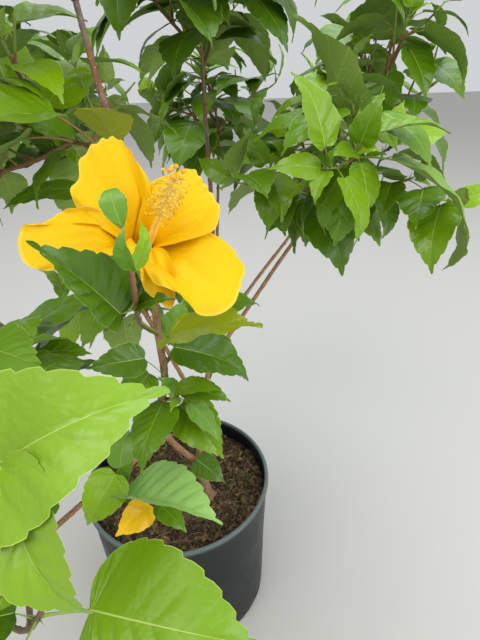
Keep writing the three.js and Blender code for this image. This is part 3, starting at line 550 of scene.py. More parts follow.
def spline(points, count):
    """Points spaced evenly in parameter along a smooth curve through the given points."""
    points = np.asarray(points, float)
    padded = np.concatenate([[2 * points[0] - points[1]], points, [2 * points[-1] - points[-2]]])
    made = []
    for i in range(count + 1):
        place = (len(points) - 1) * (i / count)
        k = min(int(place), len(points) - 2)
        t = place - k
        before, start, end, after = padded[k : k + 4]
        slope, next_slope = 0.5 * (end - before), 0.5 * (after - start)
        made.append(start + slope * t + (-3 * start + 3 * end - 2 * slope - next_slope) * t * t
                    + (2 * start - 2 * end + slope + next_slope) * t * t * t)
    return np.array(made)


def nearest_on(line, point):
    """The point of a line that lies nearest to a given point."""
    best = line[0]
    for a, b in zip(line, line[1:]):
        share = np.clip((point - a) @ (b - a) / ((b - a) @ (b - a)), 0, 1)
        near = a + share * (b - a)
        if np.linalg.norm(near - point) < np.linalg.norm(best - point):
            best = near
    return best


def centre_line(way, step, carrier=None):
    """The smooth centre line of a limb, which starts on the centre line of what carries it."""
    points = np.array([list(p) for p in way], float)
    if carrier is not None:
        points[0] = nearest_on(carrier, points[0])
    length = np.linalg.norm(np.diff(points, axis=0), axis=1).sum()
    return spline(points, max(3, math.floor(length / step + 0.5)))


def bark_places(turns, radii, along):
    """Places on a limb's skin rolled out straight, where its lumps and furrows are read."""
    return np.stack([np.cos(turns)[None] * radii[:, None], np.sin(turns)[None] * radii[:, None],
                     np.repeat(along[:, None], len(turns), 1)], 2).reshape(-1, 3)


lines, limb_radii = {}, {}
for name, limb in LIMBS.items():
    carrier = lines.get(limb.get("on"))
    line = centre_line(limb["way"], TRUNK_STEP if name == "trunk" else LIMB_STEP, carrier)
    radii = np.linspace(*limb["thick"], len(line))
    if name == "trunk":
        radii = radii + TRUNK_FLARE * np.exp(-(line[:, 2] - line[0, 2]) / FLARE_HEIGHT)
    lines[name], limb_radii[name] = line, radii


def limb_body(name, number):
    """A limb's points and triangles: its skin of bark with scars, furrows, lumps and root ridges."""
    line = lines[name]
    length = np.linalg.norm(np.diff(line, axis=0), axis=1).sum()
    count = int(length / RING_STEP)
    fine = spline(line, count)
    along = np.linspace(0, length, count + 1)
    radii = np.interp(np.linspace(0, 1, count + 1), np.linspace(0, 1, len(line)), limb_radii[name])
    if name == "trunk":
        fine = np.concatenate([[fine[0] - (0, 0, BURIED)], fine])
        along = np.concatenate([[-BURIED], along])
        radii = np.concatenate([[radii[0] + 2], radii])
    else:
        radii = radii + COLLAR_SWELL * radii[0] * np.exp(-((along / COLLAR_REACH) ** 2))
    turns = np.arange(LIMB_SIDES) * 2 * np.pi / LIMB_SIDES
    scar = (along[:, None] + SCAR_STEP / 2) % SCAR_STEP - SCAR_STEP / 2
    which = np.round(along / SCAR_STEP)[:, None]
    toward = np.cos(turns[None] - which * TURN)
    swelling = SCAR_SWELL * np.exp(-((scar / SCAR_REACH) ** 2)) * np.clip(toward + 0.55, 0, 2)
    ring = RING_GROOVE * np.exp(-(((scar - RING_AFTER) / RING_REACH) ** 2))
    places = bark_places(turns, radii, 0.22 * along)
    furrows = unevenness(places, FURROW_MM, 70 + number).reshape(-1, LIMB_SIDES)
    lumps = unevenness(places, LUMP_MM, 90 + number).reshape(-1, LIMB_SIDES)
    relief = 1 + swelling - ring + FURROW_RELIEF * furrows + LUMP_RELIEF * lumps
    if name == "trunk":
        roots = np.clip(np.cos(ROOT_RIDGES * turns + 0.7), -0.4, 1)[None] * ROOT_RELIEF
        relief = relief + roots * np.exp(-np.clip(along, 0, None) / ROOT_REACH)[:, None]
    return tube(fine, radii[:, None] * relief, LIMB_SIDES)


# Young hibiscus bark: thin, dull grey-brown with reddish patches, pale dots and fine splits.
# The older wood low on the plant is a warmer, paler brown.
BARK_GREY, BARK_RED, BARK_DOT, BARK_OLD = "#87726A", "#8B5C42", "#C4B8A4", "#A87E50"
OLD_BELOW, OLD_ENDS = 0.6, 0.72
LENTICEL_MM, PATCH_MM, SPLIT_MM = 2.6, 34, 2.2
bark_finish, tree, shader = surface("young_hibiscus_bark", Roughness=0.75)
place = node(tree, "ShaderNodeTexCoord").outputs["Object"]
patches = node(tree, "ShaderNodeTexNoise", {"Vector": place, "Scale": 1000 / PATCH_MM, "Detail": 4.0})
stretched = node(tree, "ShaderNodeMapping", {"Vector": place, "Scale": (1, 1, 0.25)})
splits = node(tree, "ShaderNodeTexNoise",
              {"Vector": stretched.outputs[0], "Scale": 1000 / SPLIT_MM, "Detail": 5.0, "Roughness": 0.65})
dots = node(tree, "ShaderNodeTexVoronoi", {"Vector": place, "Scale": 1000 / LENTICEL_MM})
tinge = node(tree, "ShaderNodeMapRange", [patches.outputs[0], 0.38, 0.62])
base_tone = node(tree, "ShaderNodeMix",
                 {0: tinge.outputs[0], MIX_A: linear(BARK_GREY), MIX_B: linear(BARK_RED)},
                 data_type="RGBA")
heights = node(tree, "ShaderNodeSeparateXYZ", [place])
older = node(tree, "ShaderNodeMapRange", [heights.outputs["Z"], OLD_BELOW, OLD_ENDS, 0.7, 0.0])
aged_tone = node(tree, "ShaderNodeMix",
                 {0: older.outputs[0], MIX_A: base_tone.outputs[MIXED], MIX_B: linear(BARK_OLD)},
                 data_type="RGBA")
dark = node(tree, "ShaderNodeMapRange", [splits.outputs[0], 0.3, 0.62, 0.5, 1.12])
shaded = node(tree, "ShaderNodeMix", {0: 1.0, MIX_A: aged_tone.outputs[MIXED], MIX_B: dark.outputs[0]},
              data_type="RGBA", blend_type="MULTIPLY")
dotted = node(tree, "ShaderNodeMapRange", [dots.outputs["Distance"], 0.16, 0.24, 0.8, 0.0])
bark_color = node(tree, "ShaderNodeMix",
                  {0: dotted.outputs[0], MIX_A: shaded.outputs[MIXED], MIX_B: linear(BARK_DOT)},
                  data_type="RGBA")
tree.links.new(bark_color.outputs[MIXED], shader.inputs["Base Color"])
relief = node(tree, "ShaderNodeMath", [splits.outputs[0], dotted.outputs[0]], operation="ADD")
bump = node(tree, "ShaderNodeBump", {"Height": relief.outputs[0], "Strength": 0.5, "Distance": 0.0008})
tree.links.new(bump.outputs[0], shader.inputs["Normal"])
limb_bodies = [limb_body(name, number) for number, name in enumerate(LIMBS)]
wood = piece("trunk_and_boughs", *joined(limb_bodies), [bark_finish])
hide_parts(*LIMBS)
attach(wood, "root")


# Growth: each mass of leaves has one green-barked stem, with twigs and leaves that leave it in turn.
# They grow by the same seeded rule as the solids: 137.5 degrees on, and only in their own space.
SUN, FRONT = (0, -0.25, 1), (0.1, -0.75, 0.6)
MASSES = {
    "mass_top": {
        "on": "leader", "way": [(-3, -130, 847), (-9, -124, 900), (-11, -116, 958)],
        "middle": (0, -135, 925), "seed": 11, "twigs": 5, "reach": 95, "leaf": 86,
    },
    "mass_upper_left": {
        "on": "leader", "way": [(19, -151, 750), (-14, -132, 752), (-58, -108, 762), (-92, -96, 790)],
        "middle": (-85, -90, 770), "seed": 23, "twigs": 4, "reach": 90, "leaf": 90,
        "leaves": [
            {"root": (17, -160, 758), "tip": (13, -206, 790), "face": (0, -0.4, 1), "broad": 0.84,
             "wedge": 0.65, "tint": "olive"},
            {"root": (-22, -99, 708), "tip": (-83, -151, 717), "face": SUN, "tint": "mid"},
            {"root": (-50, -64, 736), "tip": (-94, -122, 733), "face": SUN, "tint": "dark"},
            {"root": (-35, -94, 742), "tip": (-48, -142, 778), "face": FRONT, "tint": "mid"},
        ],
    },
    "mass_flowering": {
        "on": "leader",
        "way": [(30, -175, 602), (27, -205, 628), (35, -250, 664), (42, -277, 692), (44, -284, 708)],
        "middle": (30, -250, 670), "seed": 5, "twigs": 0, "reach": 0, "leaf": 0,
        "leaves": [
            {"root": (28, -264, 670), "tip": (2, -304, 734), "face": (-0.06, -0.64, 0.76), "broad": 0.6,
             "fold": (0.7, 0.35), "narrow": 0.64, "quilt": 2, "curl": 0.2, "tint": "dark"},
            {"root": (45, -198, 612), "tip": (120, -231, 640), "face": (0, -0.1, 1), "curl": 0.1,
             "tint": "olive"},
            {"root": (41, -279, 732), "tip": (35, -275, 760), "face": (0.1, -1, 0.3), "broad": 0.62,
             "wedge": 0.7, "fold": 0.1, "curl": 2.2, "tint": "young"},
            {"root": (44, -287, 710), "tip": (42, -289, 735), "face": (-0.5, -0.8, 0.3), "broad": 0.58,
             "curl": 0.6, "tint": "young"},
            {"root": (46, -286, 710), "tip": (58, -283, 738), "face": (0.7, -0.7, 0.2), "broad": 0.36,
             "curl": 1.5, "tint": "bright"},
            {"root": (40, -264, 676), "tip": (64, -276, 687), "face": (0, -0.5, 0.8), "broad": 0.5,
             "curl": 0.4, "tint": "dark"},
        ],
    },
    "mass_middle": {
        "on": "leader", "way": [(32.5, -171, 566), (42, -168, 576), (50, -158, 590)],
        "middle": (75, -150, 590), "seed": 6, "twigs": 0, "reach": 0, "leaf": 0,
        "leaves": [
            {"root": (40, -176, 593), "tip": (57, -162, 630), "face": FRONT, "broad": 0.6, "tint": "young"},
            {"root": (46, -182, 592), "tip": (118, -184, 562), "face": SUN, "broad": 0.7, "tint": "dark"},
            {"root": (60, -148, 598), "tip": (128, -118, 612), "face": SUN, "tint": "mid"},
        ],
    },
    "mass_lower": {
        "on": "leader", "way": [(20, -134, 500), (34, -152, 512), (42, -170, 530)],
        "middle": (35, -185, 520), "seed": 7, "twigs": 0, "reach": 0, "leaf": 0,
        "leaves": [
            {"root": (44, -180, 546), "tip": (84, -196, 558), "face": SUN, "broad": 0.5, "tint": "fresh"},
            {"root": (48, -172, 538), "tip": (94, -181, 533), "face": SUN, "tint": "mid"},
            {"root": (42, -162, 512), "tip": (84, -197, 473), "face": (0.4, -0.8, 0.6), "broad": 0.7,
             "tint": "fresh"},
            {"root": (29, -180, 529), "tip": (12, -244, 510), "face": (-0.2, -0.6, 0.8), "tint": "mid"},
            {"root": (20, -186, 584), "tip": (-26, -204, 588), "face": FRONT, "tint": "dark"},
            {"root": (20, -178, 562), "tip": (-2, -224, 556), "face": FRONT, "tint": "mid"},
        ],
    },
    "mass_inner": {
        "on": "bough_fore", "way": [(-40, -128, 390), (-30, -166, 420), (-18, -205, 454)],
        "middle": (0, -210, 440), "seed": 8, "twigs": 0, "reach": 0, "leaf": 0,
        "leaves": [
            # This leaf's pale sage tint is a painted sheen: the sky's pale reflection painted into its
            # colour.
            {"root": (-9, -217, 449), "tip": (83, -257, 460), "face": (0.03, 0.3, 0.95), "broad": 0.7,
             "fold": 0.58, "curl": 0.15, "tint": "sage"},
            {"root": (-15, -217, 479), "tip": (-40, -256, 452), "face": FRONT, "broad": 0.72,
             "tint": "bright"},
            {"root": (4, -194, 409), "tip": (-28, -221, 396), "face": (0.1, -0.8, 0.6), "broad": 0.72,
             "fold": 0.1, "curl": 0.2, "tint": "yellowed"},
            {"root": (17, -208, 427), "tip": (46, -230, 412), "face": SUN, "tint": "mid"},
            {"root": (33, -22, 296), "tip": (75, -53, 281), "face": (0.1, -0.6, 0.8), "broad": 0.7,
             "node": (25, -15, 294), "tint": "dark"},
        ],
    },
    "mass_fore": {
        "on": "bough_fore",
        "way": [(-62, -352, 492), (-32, -368, 510), (-8, -372, 560), (-4, -376, 620), (-6, -378, 668)],
        "middle": (-25, -370, 570), "seed": 9, "twigs": 4, "reach": 95, "leaf": 88,
        "leaves": [
            {"root": (8, -366, 525), "tip": (112, -396, 534), "face": (0.1, -0.5, 0.85), "broad": 0.8,
             "tint": "fresh"},
            {"root": (-20, -380, 650), "tip": (70, -378, 702), "face": (0.2, -0.6, 0.8), "broad": 0.66,
             "tint": "light"},
            {"root": (0, -384, 664), "tip": (36, -434, 620), "face": (-0.2, -0.8, 0.5), "broad": 0.62,
             "tint": "light"},
            {"root": (-16, -382, 622), "tip": (-78, -420, 606), "face": FRONT, "tint": "light"},
            {"root": (-22, -366, 560), "tip": (-92, -372, 580), "face": SUN, "tint": "bright"},
            {"root": (-34, -386, 508), "tip": (-62, -440, 470), "face": FRONT, "tint": "mid"},
        ],
    },
    "mass_left": {
        "on": "bough_left", "way": [(-205, -70, 620), (-232, -82, 680), (-248, -92, 748)],
        "middle": (-220, -95, 660), "seed": 31, "twigs": 5, "reach": 105, "leaf": 92,
    },
    "mass_left_low": {
        "on": "bough_left", "way": [(-96, -44.6, 464), (-128, -104, 476), (-160, -172, 512)],
        "middle": (-135, -165, 500), "seed": 37, "twigs": 4, "reach": 95, "leaf": 90,
        "leaves": [{"root": (-94, -232, 630), "tip": (-24, -276, 640), "face": SUN, "broad": 0.62,
                    "tint": "mid"}],
    },
    "mass_left_back": {
        "on": "bough_back_left", "way": [(-140, 168, 660), (-160, 184, 730), (-168, 190, 805)],
        "middle": (-160, 165, 715), "seed": 41, "twigs": 5, "reach": 105, "leaf": 92,
    },
    "mass_back_low": {
        "on": "bough_back_left", "way": [(-20, 80, 450), (-52, 150, 472), (-78, 215, 516)],
        "middle": (-60, 205, 490), "seed": 43, "twigs": 5, "reach": 95, "leaf": 90,
    },
    "mass_back": {
        "on": "bough_back", "way": [(76, 238, 620), (80, 262, 690), (74, 276, 768)],
        "middle": (70, 265, 680), "seed": 47, "twigs": 5, "reach": 105, "leaf": 92,
    },
    "mass_right": {
        "on": "bough_right", "way": [(245, 75, 670), (272, 78, 740), (280, 72, 815)],
        "middle": (275, 70, 730), "seed": 53, "twigs": 5, "reach": 105, "leaf": 92,
    },
    "mass_right_back": {
        "on": "bough_right_back", "way": [(216, 210, 602), (240, 226, 660), (250, 230, 725)],
        "middle": (235, 225, 640), "seed": 59, "twigs": 5, "reach": 100, "leaf": 90,
    },
    "mass_right_front": {
        "on": "bough_right", "way": [(200, 90, 610), (206, 20, 660), (214, -48, 704), (214, -86, 764)],
        "middle": (205, -60, 735), "seed": 61, "twigs": 5, "reach": 95, "leaf": 88,
    },
    "mass_centre": {
        "on": "bough_centre", "way": [(72, 62, 760), (72, 60, 830), (66, 54, 902)],
        "middle": (70, 55, 845), "seed": 67, "twigs": 6, "reach": 105, "leaf": 90,
    },
}
STEM_STEP, STEM_THICK = 18, (2, 1.6)
SEED_STEP = 7919
TWIG = {"thick": (1.9, 1.4), "steps": 3, "zone": (0.28, 0.88), "reach": (0.85, 1.15), "shorter": 0.3,
        "forward": 0.55, "outward": 0.85, "rise": 0.16, "wander": 0.12, "trials": 5, "trial_turn": 0.9}
LEAF = {"apart": 34, "zone": (0.22, 0.96), "size": (0.84, 1.16), "smaller": 0.38, "stalk": (0.26, 0.42),
        "droop": (0.25, 0.85), "spin": (-0.35, 0.35), "broad": 0.68, "arch": 0.05, "trials": 6,
        "trial_turn": 0.8}
LEAF_HABIT = ("tint", "fold", "curl", "wedge", "narrow", "quilt")
LEAF_SECTIONS = ((0.26, 0.5), (0.62, 0.4))
LEAF_NODES = (0.35, 0.45, 0.55, 0.65, 0.75, 0.85, 0.95)
CROWN_MIDDLE = np.array([15.0, -25, 625])
CROWN_REACH = np.array([375.0, 400, 405])
LOWEST_LEAF = 285
SPACE_MARGIN = 1.2
CLEAR, CLEAR_STEPS = 3.4, 5
BARE_BESIDE = {"right": 118, "height": 552, "slope": 0.52}
BARE_BEFORE = {"right": 62, "height": 300, "slope": 1}
BARE_IN_FRONT = {"right": 45, "slope": 0.17, "front": -200, "height": 840}
THROAT = np.array([48.0, -234, 718])
FLOWER_SPACE = 84
UP = np.array([0.0, 0, 1])


def unit(way):
    """The same way with a length of 1."""
    return way / math.sqrt(way @ way)


def between(pair, share):
    """The value at a share of the way between a pair."""
    return pair[0] + (pair[1] - pair[0]) * share


def point_at(line, share):
    """The point at a share of a line, counted by its points."""
    place = share * (len(line) - 1)
    k = min(math.floor(place), len(line) - 2)
    return line[k] + (line[k + 1] - line[k]) * (place - k)


def run_at(line, share, before=0.04, after=0.04):
    """The way a line runs at a share of its length."""
    return unit(point_at(line, share + after) - point_at(line, share - before))


def seeded(seed):
    """A draw of random numbers that comes out the same each time for the same seed."""
    state = [seed]

    def draw_number():
        state[0] = state[0] * 16807 % 2147483647
        return state[0] / 2147483647

    return draw_number


def leaf_at(root, base, tip, face, broad):
    """A leaf: its stalk's root, its blade's base and tip, and the frame that its blade lies in."""
    length = math.sqrt((tip - base) @ (tip - base))
    along = unit(tip - base)
    normal = unit(face - (face @ along) * along)
    side = np.cross(along, normal)

    def midrib(s):
        return base + along * (length * s) + normal * (length * LEAF["arch"] * 4 * s * (1 - s))

    edges = [[midrib(s) + side * (sign * half * broad * length) for sign in (-1, 1)]
             for s, half in LEAF_SECTIONS]
    corners = np.array([base, edges[0][0], edges[1][0], tip, edges[1][1], edges[0][1]])
    plates = np.array([
        [base, edges[0][0], edges[0][1]],
        [edges[0][0], edges[1][0], edges[1][1]],
        [edges[0][0], edges[1][1], edges[0][1]],
        [edges[1][0], tip, edges[1][1]],
    ])
    outline = np.stack([corners, np.roll(corners, -1, 0)], 1)
    return {"root": root, "base": base, "tip": tip, "length": length, "along": along, "normal": normal,
            "side": side, "broad": broad, "middle": midrib(0.5), "corners": corners, "plates": plates,
            "segments": np.concatenate([outline, [[root, tip]]])}


def in_own_space(points, name):
    """Whether every point lies in the crown and nearer to the mass's own middle than to others."""
    points = np.atleast_2d(points)
    x, y, z = points.T
    inside = (((points - CROWN_MIDDLE) / CROWN_REACH) ** 2).sum(1) <= 1
    beside = (x > BARE_BESIDE["right"]) & (z < BARE_BESIDE["height"] - BARE_BESIDE["slope"] * y)
    before = (x > BARE_BEFORE["right"]) & (z < BARE_BEFORE["height"] - BARE_BEFORE["slope"] * y)
    in_front = ((x > BARE_IN_FRONT["right"] + BARE_IN_FRONT["slope"] * y)
                & (y < BARE_IN_FRONT["front"]) & (z < BARE_IN_FRONT["height"]))
    if not inside.all() or (z < LOWEST_LEAF).any() or (beside | before | in_front).any():
        return False
    if (np.linalg.norm(points - THROAT, axis=1) < FLOWER_SPACE).any():
        return False
    own = np.array(MASSES[name]["middle"], float)
    for other, mass in MASSES.items():
        if other != name:
            apart = np.array(mass["middle"], float) - own
            distances = (own + apart * 0.5 - points) @ unit(apart)
            if (distances <= SPACE_MARGIN).any():
                return False
    return True


def kept_clear(line, radii):
    """Close steps along a limb, each with the room that must stay free round it."""
    centres, rooms = [], []
    for i in range(1, len(line)):
        for k in range(1, CLEAR_STEPS + 1):
            centres.append(line[i - 1] + (line[i] - line[i - 1]) * (k / CLEAR_STEPS))
            rooms.append(max(radii[i - 1], radii[i]) + CLEAR)
    return np.array(centres), np.array(rooms)


def distance_to_plate(places, plate):
    """The distance from each place to a triangular plate."""
    a, b, c = plate
    normal = np.cross(b - a, c - a)
    height = (places - a) @ normal / (normal @ normal)
    foot = places - height[:, None] * normal
    inside = np.ones(len(places), bool)
    best = np.full(len(places), np.inf)
    for p, q in ((a, b), (b, c), (c, a)):
        inside &= (np.cross(q - p, foot - p) @ normal) >= 0
        share = np.clip((places - p) @ (q - p) / ((q - p) @ (q - p)), 0, 1)
        best = np.minimum(best, np.linalg.norm(places - p - share[:, None] * (q - p), axis=1))
    return np.where(inside, np.abs(height) * math.sqrt(normal @ normal), best)


def touches(points, plates, others):
    """Whether a twig's or leaf's points or plates lie in the room of other limbs."""
    centres, rooms = others
    for point in points:
        if (np.linalg.norm(centres - point, axis=1) < rooms).any():
            return True
    return any((distance_to_plate(centres, plate) < rooms).any() for plate in plates)


def crosses(segments, plates):
    """Whether any of the segments passes through any of the plates."""
    start = segments[:, None, 0]
    run = segments[:, None, 1] - start
    a = plates[None, :, 0]
    ab, ac = plates[None, :, 1] - a, plates[None, :, 2] - a
    h = np.cross(run, ac)
    det = (ab * h).sum(2)
    with np.errstate(divide="ignore", invalid="ignore"):
        s = start - a
        u = (s * h).sum(2) / det
        q = np.cross(s, ab)
        v = (run * q).sum(2) / det
        t = (ac * q).sum(2) / det
    hit = (np.abs(det) >= 1e-9) & (u >= 0) & (u <= 1) & (v >= 0) & (u + v <= 1) & (t > 0) & (t < 1)
    return bool(hit.any())


def leaves_cross(one, others):
    """Whether a leaf's edges or stalk pass through a leaf nearby, or the other way round."""
    near = [two for two in others
            if np.linalg.norm(one["middle"] - two["middle"]) <= (one["length"] + two["length"]) * 0.6]
    if not near:
        return False
    return (crosses(one["segments"], np.concatenate([two["plates"] for two in near]))
            or crosses(np.concatenate([two["segments"] for two in near]), one["plates"]))


def sideways(run, turn):
    """The way out of a limb that runs along a way, at a turn round it."""
    across = np.array([0.31, 0.95, 0.11])
    across = unit(across - (across @ run) * run)
    return across * math.cos(turn) + np.cross(run, across) * math.sin(turn)


def grow_twig(start, direction, length, random):
    """A twig's line, which rises and wanders a little at each step."""
    line = [start]
    run = direction.copy()
    for _ in range(TWIG["steps"]):
        run[2] += TWIG["rise"]
        run[0] += TWIG["wander"] * (random() - 0.5)
        run[1] += TWIG["wander"] * (random() - 0.5)
        run = unit(run)
        line.append(line[-1] + run * (length / TWIG["steps"]))
    return np.array(line)


def turned_about(way, axis, angle):
    """A way turned about an axis."""
    return (way * math.cos(angle) + np.cross(axis, way) * math.sin(angle)
            + axis * ((axis @ way) * (1 - math.cos(angle))))


def grow_leaf(start, run, turn, size, random):
    """A leaf on its stalk, which droops and spins by what is drawn."""
    out = sideways(run, turn)
    stalk = size * between(LEAF["stalk"], random())
    droop = between(LEAF["droop"], random())
    spin = between(LEAF["spin"], random())
    base = start + unit(out * 0.8 + run * 0.5 + UP * 0.15) * stalk
    along = unit(out + run * 0.2 - UP * droop)
    face = turned_about(UP, along, spin)
    return leaf_at(start, base, base + along * size, face, LEAF["broad"])


def add_twig(twigs, habit, start, run, turn, reach, site):
    """Adds a twig at the first of a few turns round its carrier where it finds room."""
    for trial in range(TWIG["trials"]):
        out = sideways(run, turn + trial * TWIG["trial_turn"])
        direction = unit(run * habit["forward"] + out * habit["outward"])
        line = grow_twig(start, direction, reach * between(habit["reach"], site["random"]()), site["random"])
        if in_own_space(line[1:], site["name"]) and not touches(line[1:], [], site["others"]):
            twigs.append(line)
            return


def named_leaves(mass, stem):
    """The leaves of a mass that have their own places, on the nearest node of its stem."""
    nodes = [point_at(stem, share) for share in LEAF_NODES]
    made = []
    for leaf in mass.get("leaves", []):
        base = np.array(leaf["root"], float)
        root = np.array(leaf.get("node", min(nodes, key=lambda p: np.linalg.norm(p - base))), float)
        grown = leaf_at(root, base, np.array(leaf["tip"], float), unit(np.array(leaf["face"], float)),
                        leaf.get("broad", 0.6))
        habit = {key: leaf[key] for key in LEAF_HABIT if key in leaf}
        made.append({**grown, **habit, "named": True})
    return made


def leaf_fits(leaf, site):
    """Whether a leaf lies in its mass's own space, clear of limbs and of the mass's leaves."""
    wood = np.concatenate([np.stack([line[:-1], line[1:]], 1) for line in site["wood"]])
    stalk_points = [leaf["base"], leaf["base"] + (leaf["root"] - leaf["base"]) * 0.5]
    return (in_own_space(leaf["corners"], site["name"])
            and not touches(stalk_points, leaf["plates"], site["others"])
            and not leaves_cross(leaf, site["leaves"]) and not crosses(wood, leaf["plates"]))


def add_leaf(grow, start, run, turn, size, trials, share, site):
    """Adds a leaf at the first of a few turns round its carrier where it finds room."""
    for trial in range(trials):
        leaf = grow(start, run, turn + trial * LEAF["trial_turn"], size, site["random"])
        if leaf_fits(leaf, site):
            site["leaves"].append({**leaf, "share": share})
            return


def grow_mass(name, others, stem):
    """The stem, twigs and leaves of one mass, as its solid has them."""
    mass = MASSES[name]
    random = seeded(mass["seed"] * SEED_STEP)
    carriers = [stem]
    site = {"name": name, "others": others, "random": random, "wood": carriers,
            "leaves": named_leaves(mass, stem)}
    for i in range(mass["twigs"]):
        at = math.floor((len(stem) - 1) * between(TWIG["zone"], i / mass["twigs"]) + 0.5)
        reach = mass["reach"] * (1 - TWIG["shorter"] * (i / mass["twigs"]))
        add_twig(carriers, TWIG, stem[at], unit(stem[at] - stem[at - 1]), i * TURN, reach, site)
    for line in carriers if mass["leaf"] else []:
        total = np.linalg.norm(line[-1] - line[0])
        count = max(3, math.floor(total / LEAF["apart"] + 0.5) + 1)
        for i in range(count):
            share = between(LEAF["zone"], i / (count - 1))
            size = mass["leaf"] * (1 - LEAF["smaller"] * share**3) * between(LEAF["size"], random())
            add_leaf(grow_leaf, point_at(line, share), run_at(line, share), i * TURN, size,
                     LEAF["trials"], share, site)
    return carriers, site["leaves"]


stems = {name: centre_line(mass["way"], STEM_STEP, lines[mass["on"]]) for name, mass in MASSES.items()}
stem_room = {name: kept_clear(stem, np.linspace(*STEM_THICK, len(stem))) for name, stem in stems.items()}
limb_room = [kept_clear(line, limb_radii[name]) for name, line in lines.items()]
grown = {}
room_round = {}
for name in MASSES:
    rooms = limb_room + [room for other, room in stem_room.items() if other != name]
    room_round[name] = tuple(np.concatenate([room[k] for room in rooms]) for k in (0, 1))
    grown[name] = grow_mass(name, room_round[name], stems[name])


# Finer growth: side shoots and smaller leaves between those that the solids have, by the same rule.
# It keeps to the same spaces, so the crown stays open where the solids leave it open.
SHOOT = {"shares": (0.42, 0.72), "reach": (0.42, 0.7), "forward": 0.7, "outward": 0.75, "turn": 1.1}
SHOOT_LEAVES = (0.5, 0.78, 0.98)
SMALLER_LEAF = (0.5, 0.78)
BETWEEN_SHARES, BETWEEN_TURN, BETWEEN_TRIALS = (0.32, 0.52, 0.7, 0.88), 2, 4
TIP_LEAVES, TIP_TRIALS = ((0.46, 0.0), (0.34, 2.4), (0.22, 4.8)), 3
PLAIN_SIZE = 64


def upright_leaf(start, run, turn, size, random):
    """A young leaf at a shoot's tip, which still stands up along the shoot."""
    out = sideways(run, turn)
    base = start + unit(run * 0.9 + out * 0.5) * size * 0.22
    along = unit(run * 0.75 + out * 0.75 + UP * 0.1)
    face = unit(run * 0.6 - out * 0.9 + UP * 0.5)
    return leaf_at(start, base, base + along * size, face, 0.5 + 0.12 * random())


def grow_finer(name, carriers, leaves):
    """Adds shoots, the leaves between those of the solid, and the young leaves at every tip."""
    mass = MASSES[name]
    random = seeded(mass["seed"] * SEED_STEP + 1)
    size = mass["leaf"] or PLAIN_SIZE
    shoots = []
    site = {"name": name, "others": room_round[name], "random": random, "leaves": list(leaves)}
    for number, line in enumerate(carriers if mass["leaf"] else []):
        for k, share in enumerate(SHOOT["shares"]):
            turn = (number + k) * TURN + SHOOT["turn"]
            add_twig(shoots, SHOOT, point_at(line, share), run_at(line, share), turn, size, site)
    site["wood"] = carriers + shoots
    for line in shoots:
        for i, share in enumerate(SHOOT_LEAVES):
            run = run_at(line, share, before=0.08, after=0)
            leaf_size = size * between(SMALLER_LEAF, random())
            add_leaf(grow_leaf, point_at(line, share), run, i * TURN, leaf_size, LEAF["trials"], share, site)
    for line in carriers:
        for i, share in enumerate(BETWEEN_SHARES):
            leaf_size = size * between(SMALLER_LEAF, random())
            add_leaf(grow_leaf, point_at(line, share), run_at(line, share), i * TURN + BETWEEN_TURN,
                     leaf_size, BETWEEN_TRIALS, share, site)
    for line in site["wood"]:
        run = unit(line[-1] - line[-2])
        for share, turn in TIP_LEAVES:
            add_leaf(upright_leaf, line[-1], run, turn, share * size, TIP_TRIALS, 1, site)
    return shoots, site["leaves"][len(leaves):]


finer = {name: grow_finer(name, *grown[name]) for name in MASSES}


# Twigs: green to reddish brown, a little thicker at each leaf node, as one joined mesh.
# Their colour runs from brown at the root through reddish to green at the growing tip.
TWIG_STEP = 4.0
TWIG_SIDES = 9
SHOOT_THICK = (1.3, 0.8)
NODE_APART, NODE_SWELL, NODE_REACH = 17, 0.22, 2
TWIG_COLLAR, TWIG_COLLAR_REACH, TWIG_RELIEF = 0.3, 3.5, 0.06
TWIG_TONES = {"twig_bark_brown": "#7A6246", "twig_bark_reddish": "#8B6244", "twig_bark_green": "#7C8A3E",
              "shoot_green_tip": "#86A03C"}

twig_finishes = [grained(name, tone, 0.6, grain_mm=1.5, strength=0.45, depth_mm=0.5, detail=4.0,
                         gloss=(0.45, 0.75)) for name, tone in TWIG_TONES.items()]


def twig_body(line, thick, number):
    """A twig's points and triangles, with a collar at its root and a swelling at each node."""
    length = np.linalg.norm(np.diff(line, axis=0), axis=1).sum()
    count = max(4, int(length / TWIG_STEP))
    fine = spline(line, count)
    along = np.linspace(0, length, count + 1)
    radii = np.linspace(*thick, count + 1)
    radii = radii * (1 + TWIG_COLLAR * np.exp(-((along / TWIG_COLLAR_REACH) ** 2)))
    node_off = (along + NODE_APART / 2) % NODE_APART - NODE_APART / 2
    radii = radii * (1 + NODE_SWELL * np.exp(-((node_off / NODE_REACH) ** 2)))
    sides = np.arange(TWIG_SIDES) * 2 * np.pi / TWIG_SIDES
    places = bark_places(sides, radii * 2, along * 0.6)
    relief = 1 + TWIG_RELIEF * unevenness(places, 4, 500 + number).reshape(-1, TWIG_SIDES)
    return tube(fine, radii[:, None] * relief, TWIG_SIDES)


def tone_along(triangles, rows, stages):
    """The finish of each triangle of a tube, by how far along it lies."""
    row = np.clip(triangles.min(1) // TWIG_SIDES, 0, rows - 1)
    return stages[np.clip((row / rows * len(stages)).astype(int), 0, len(stages) - 1)]


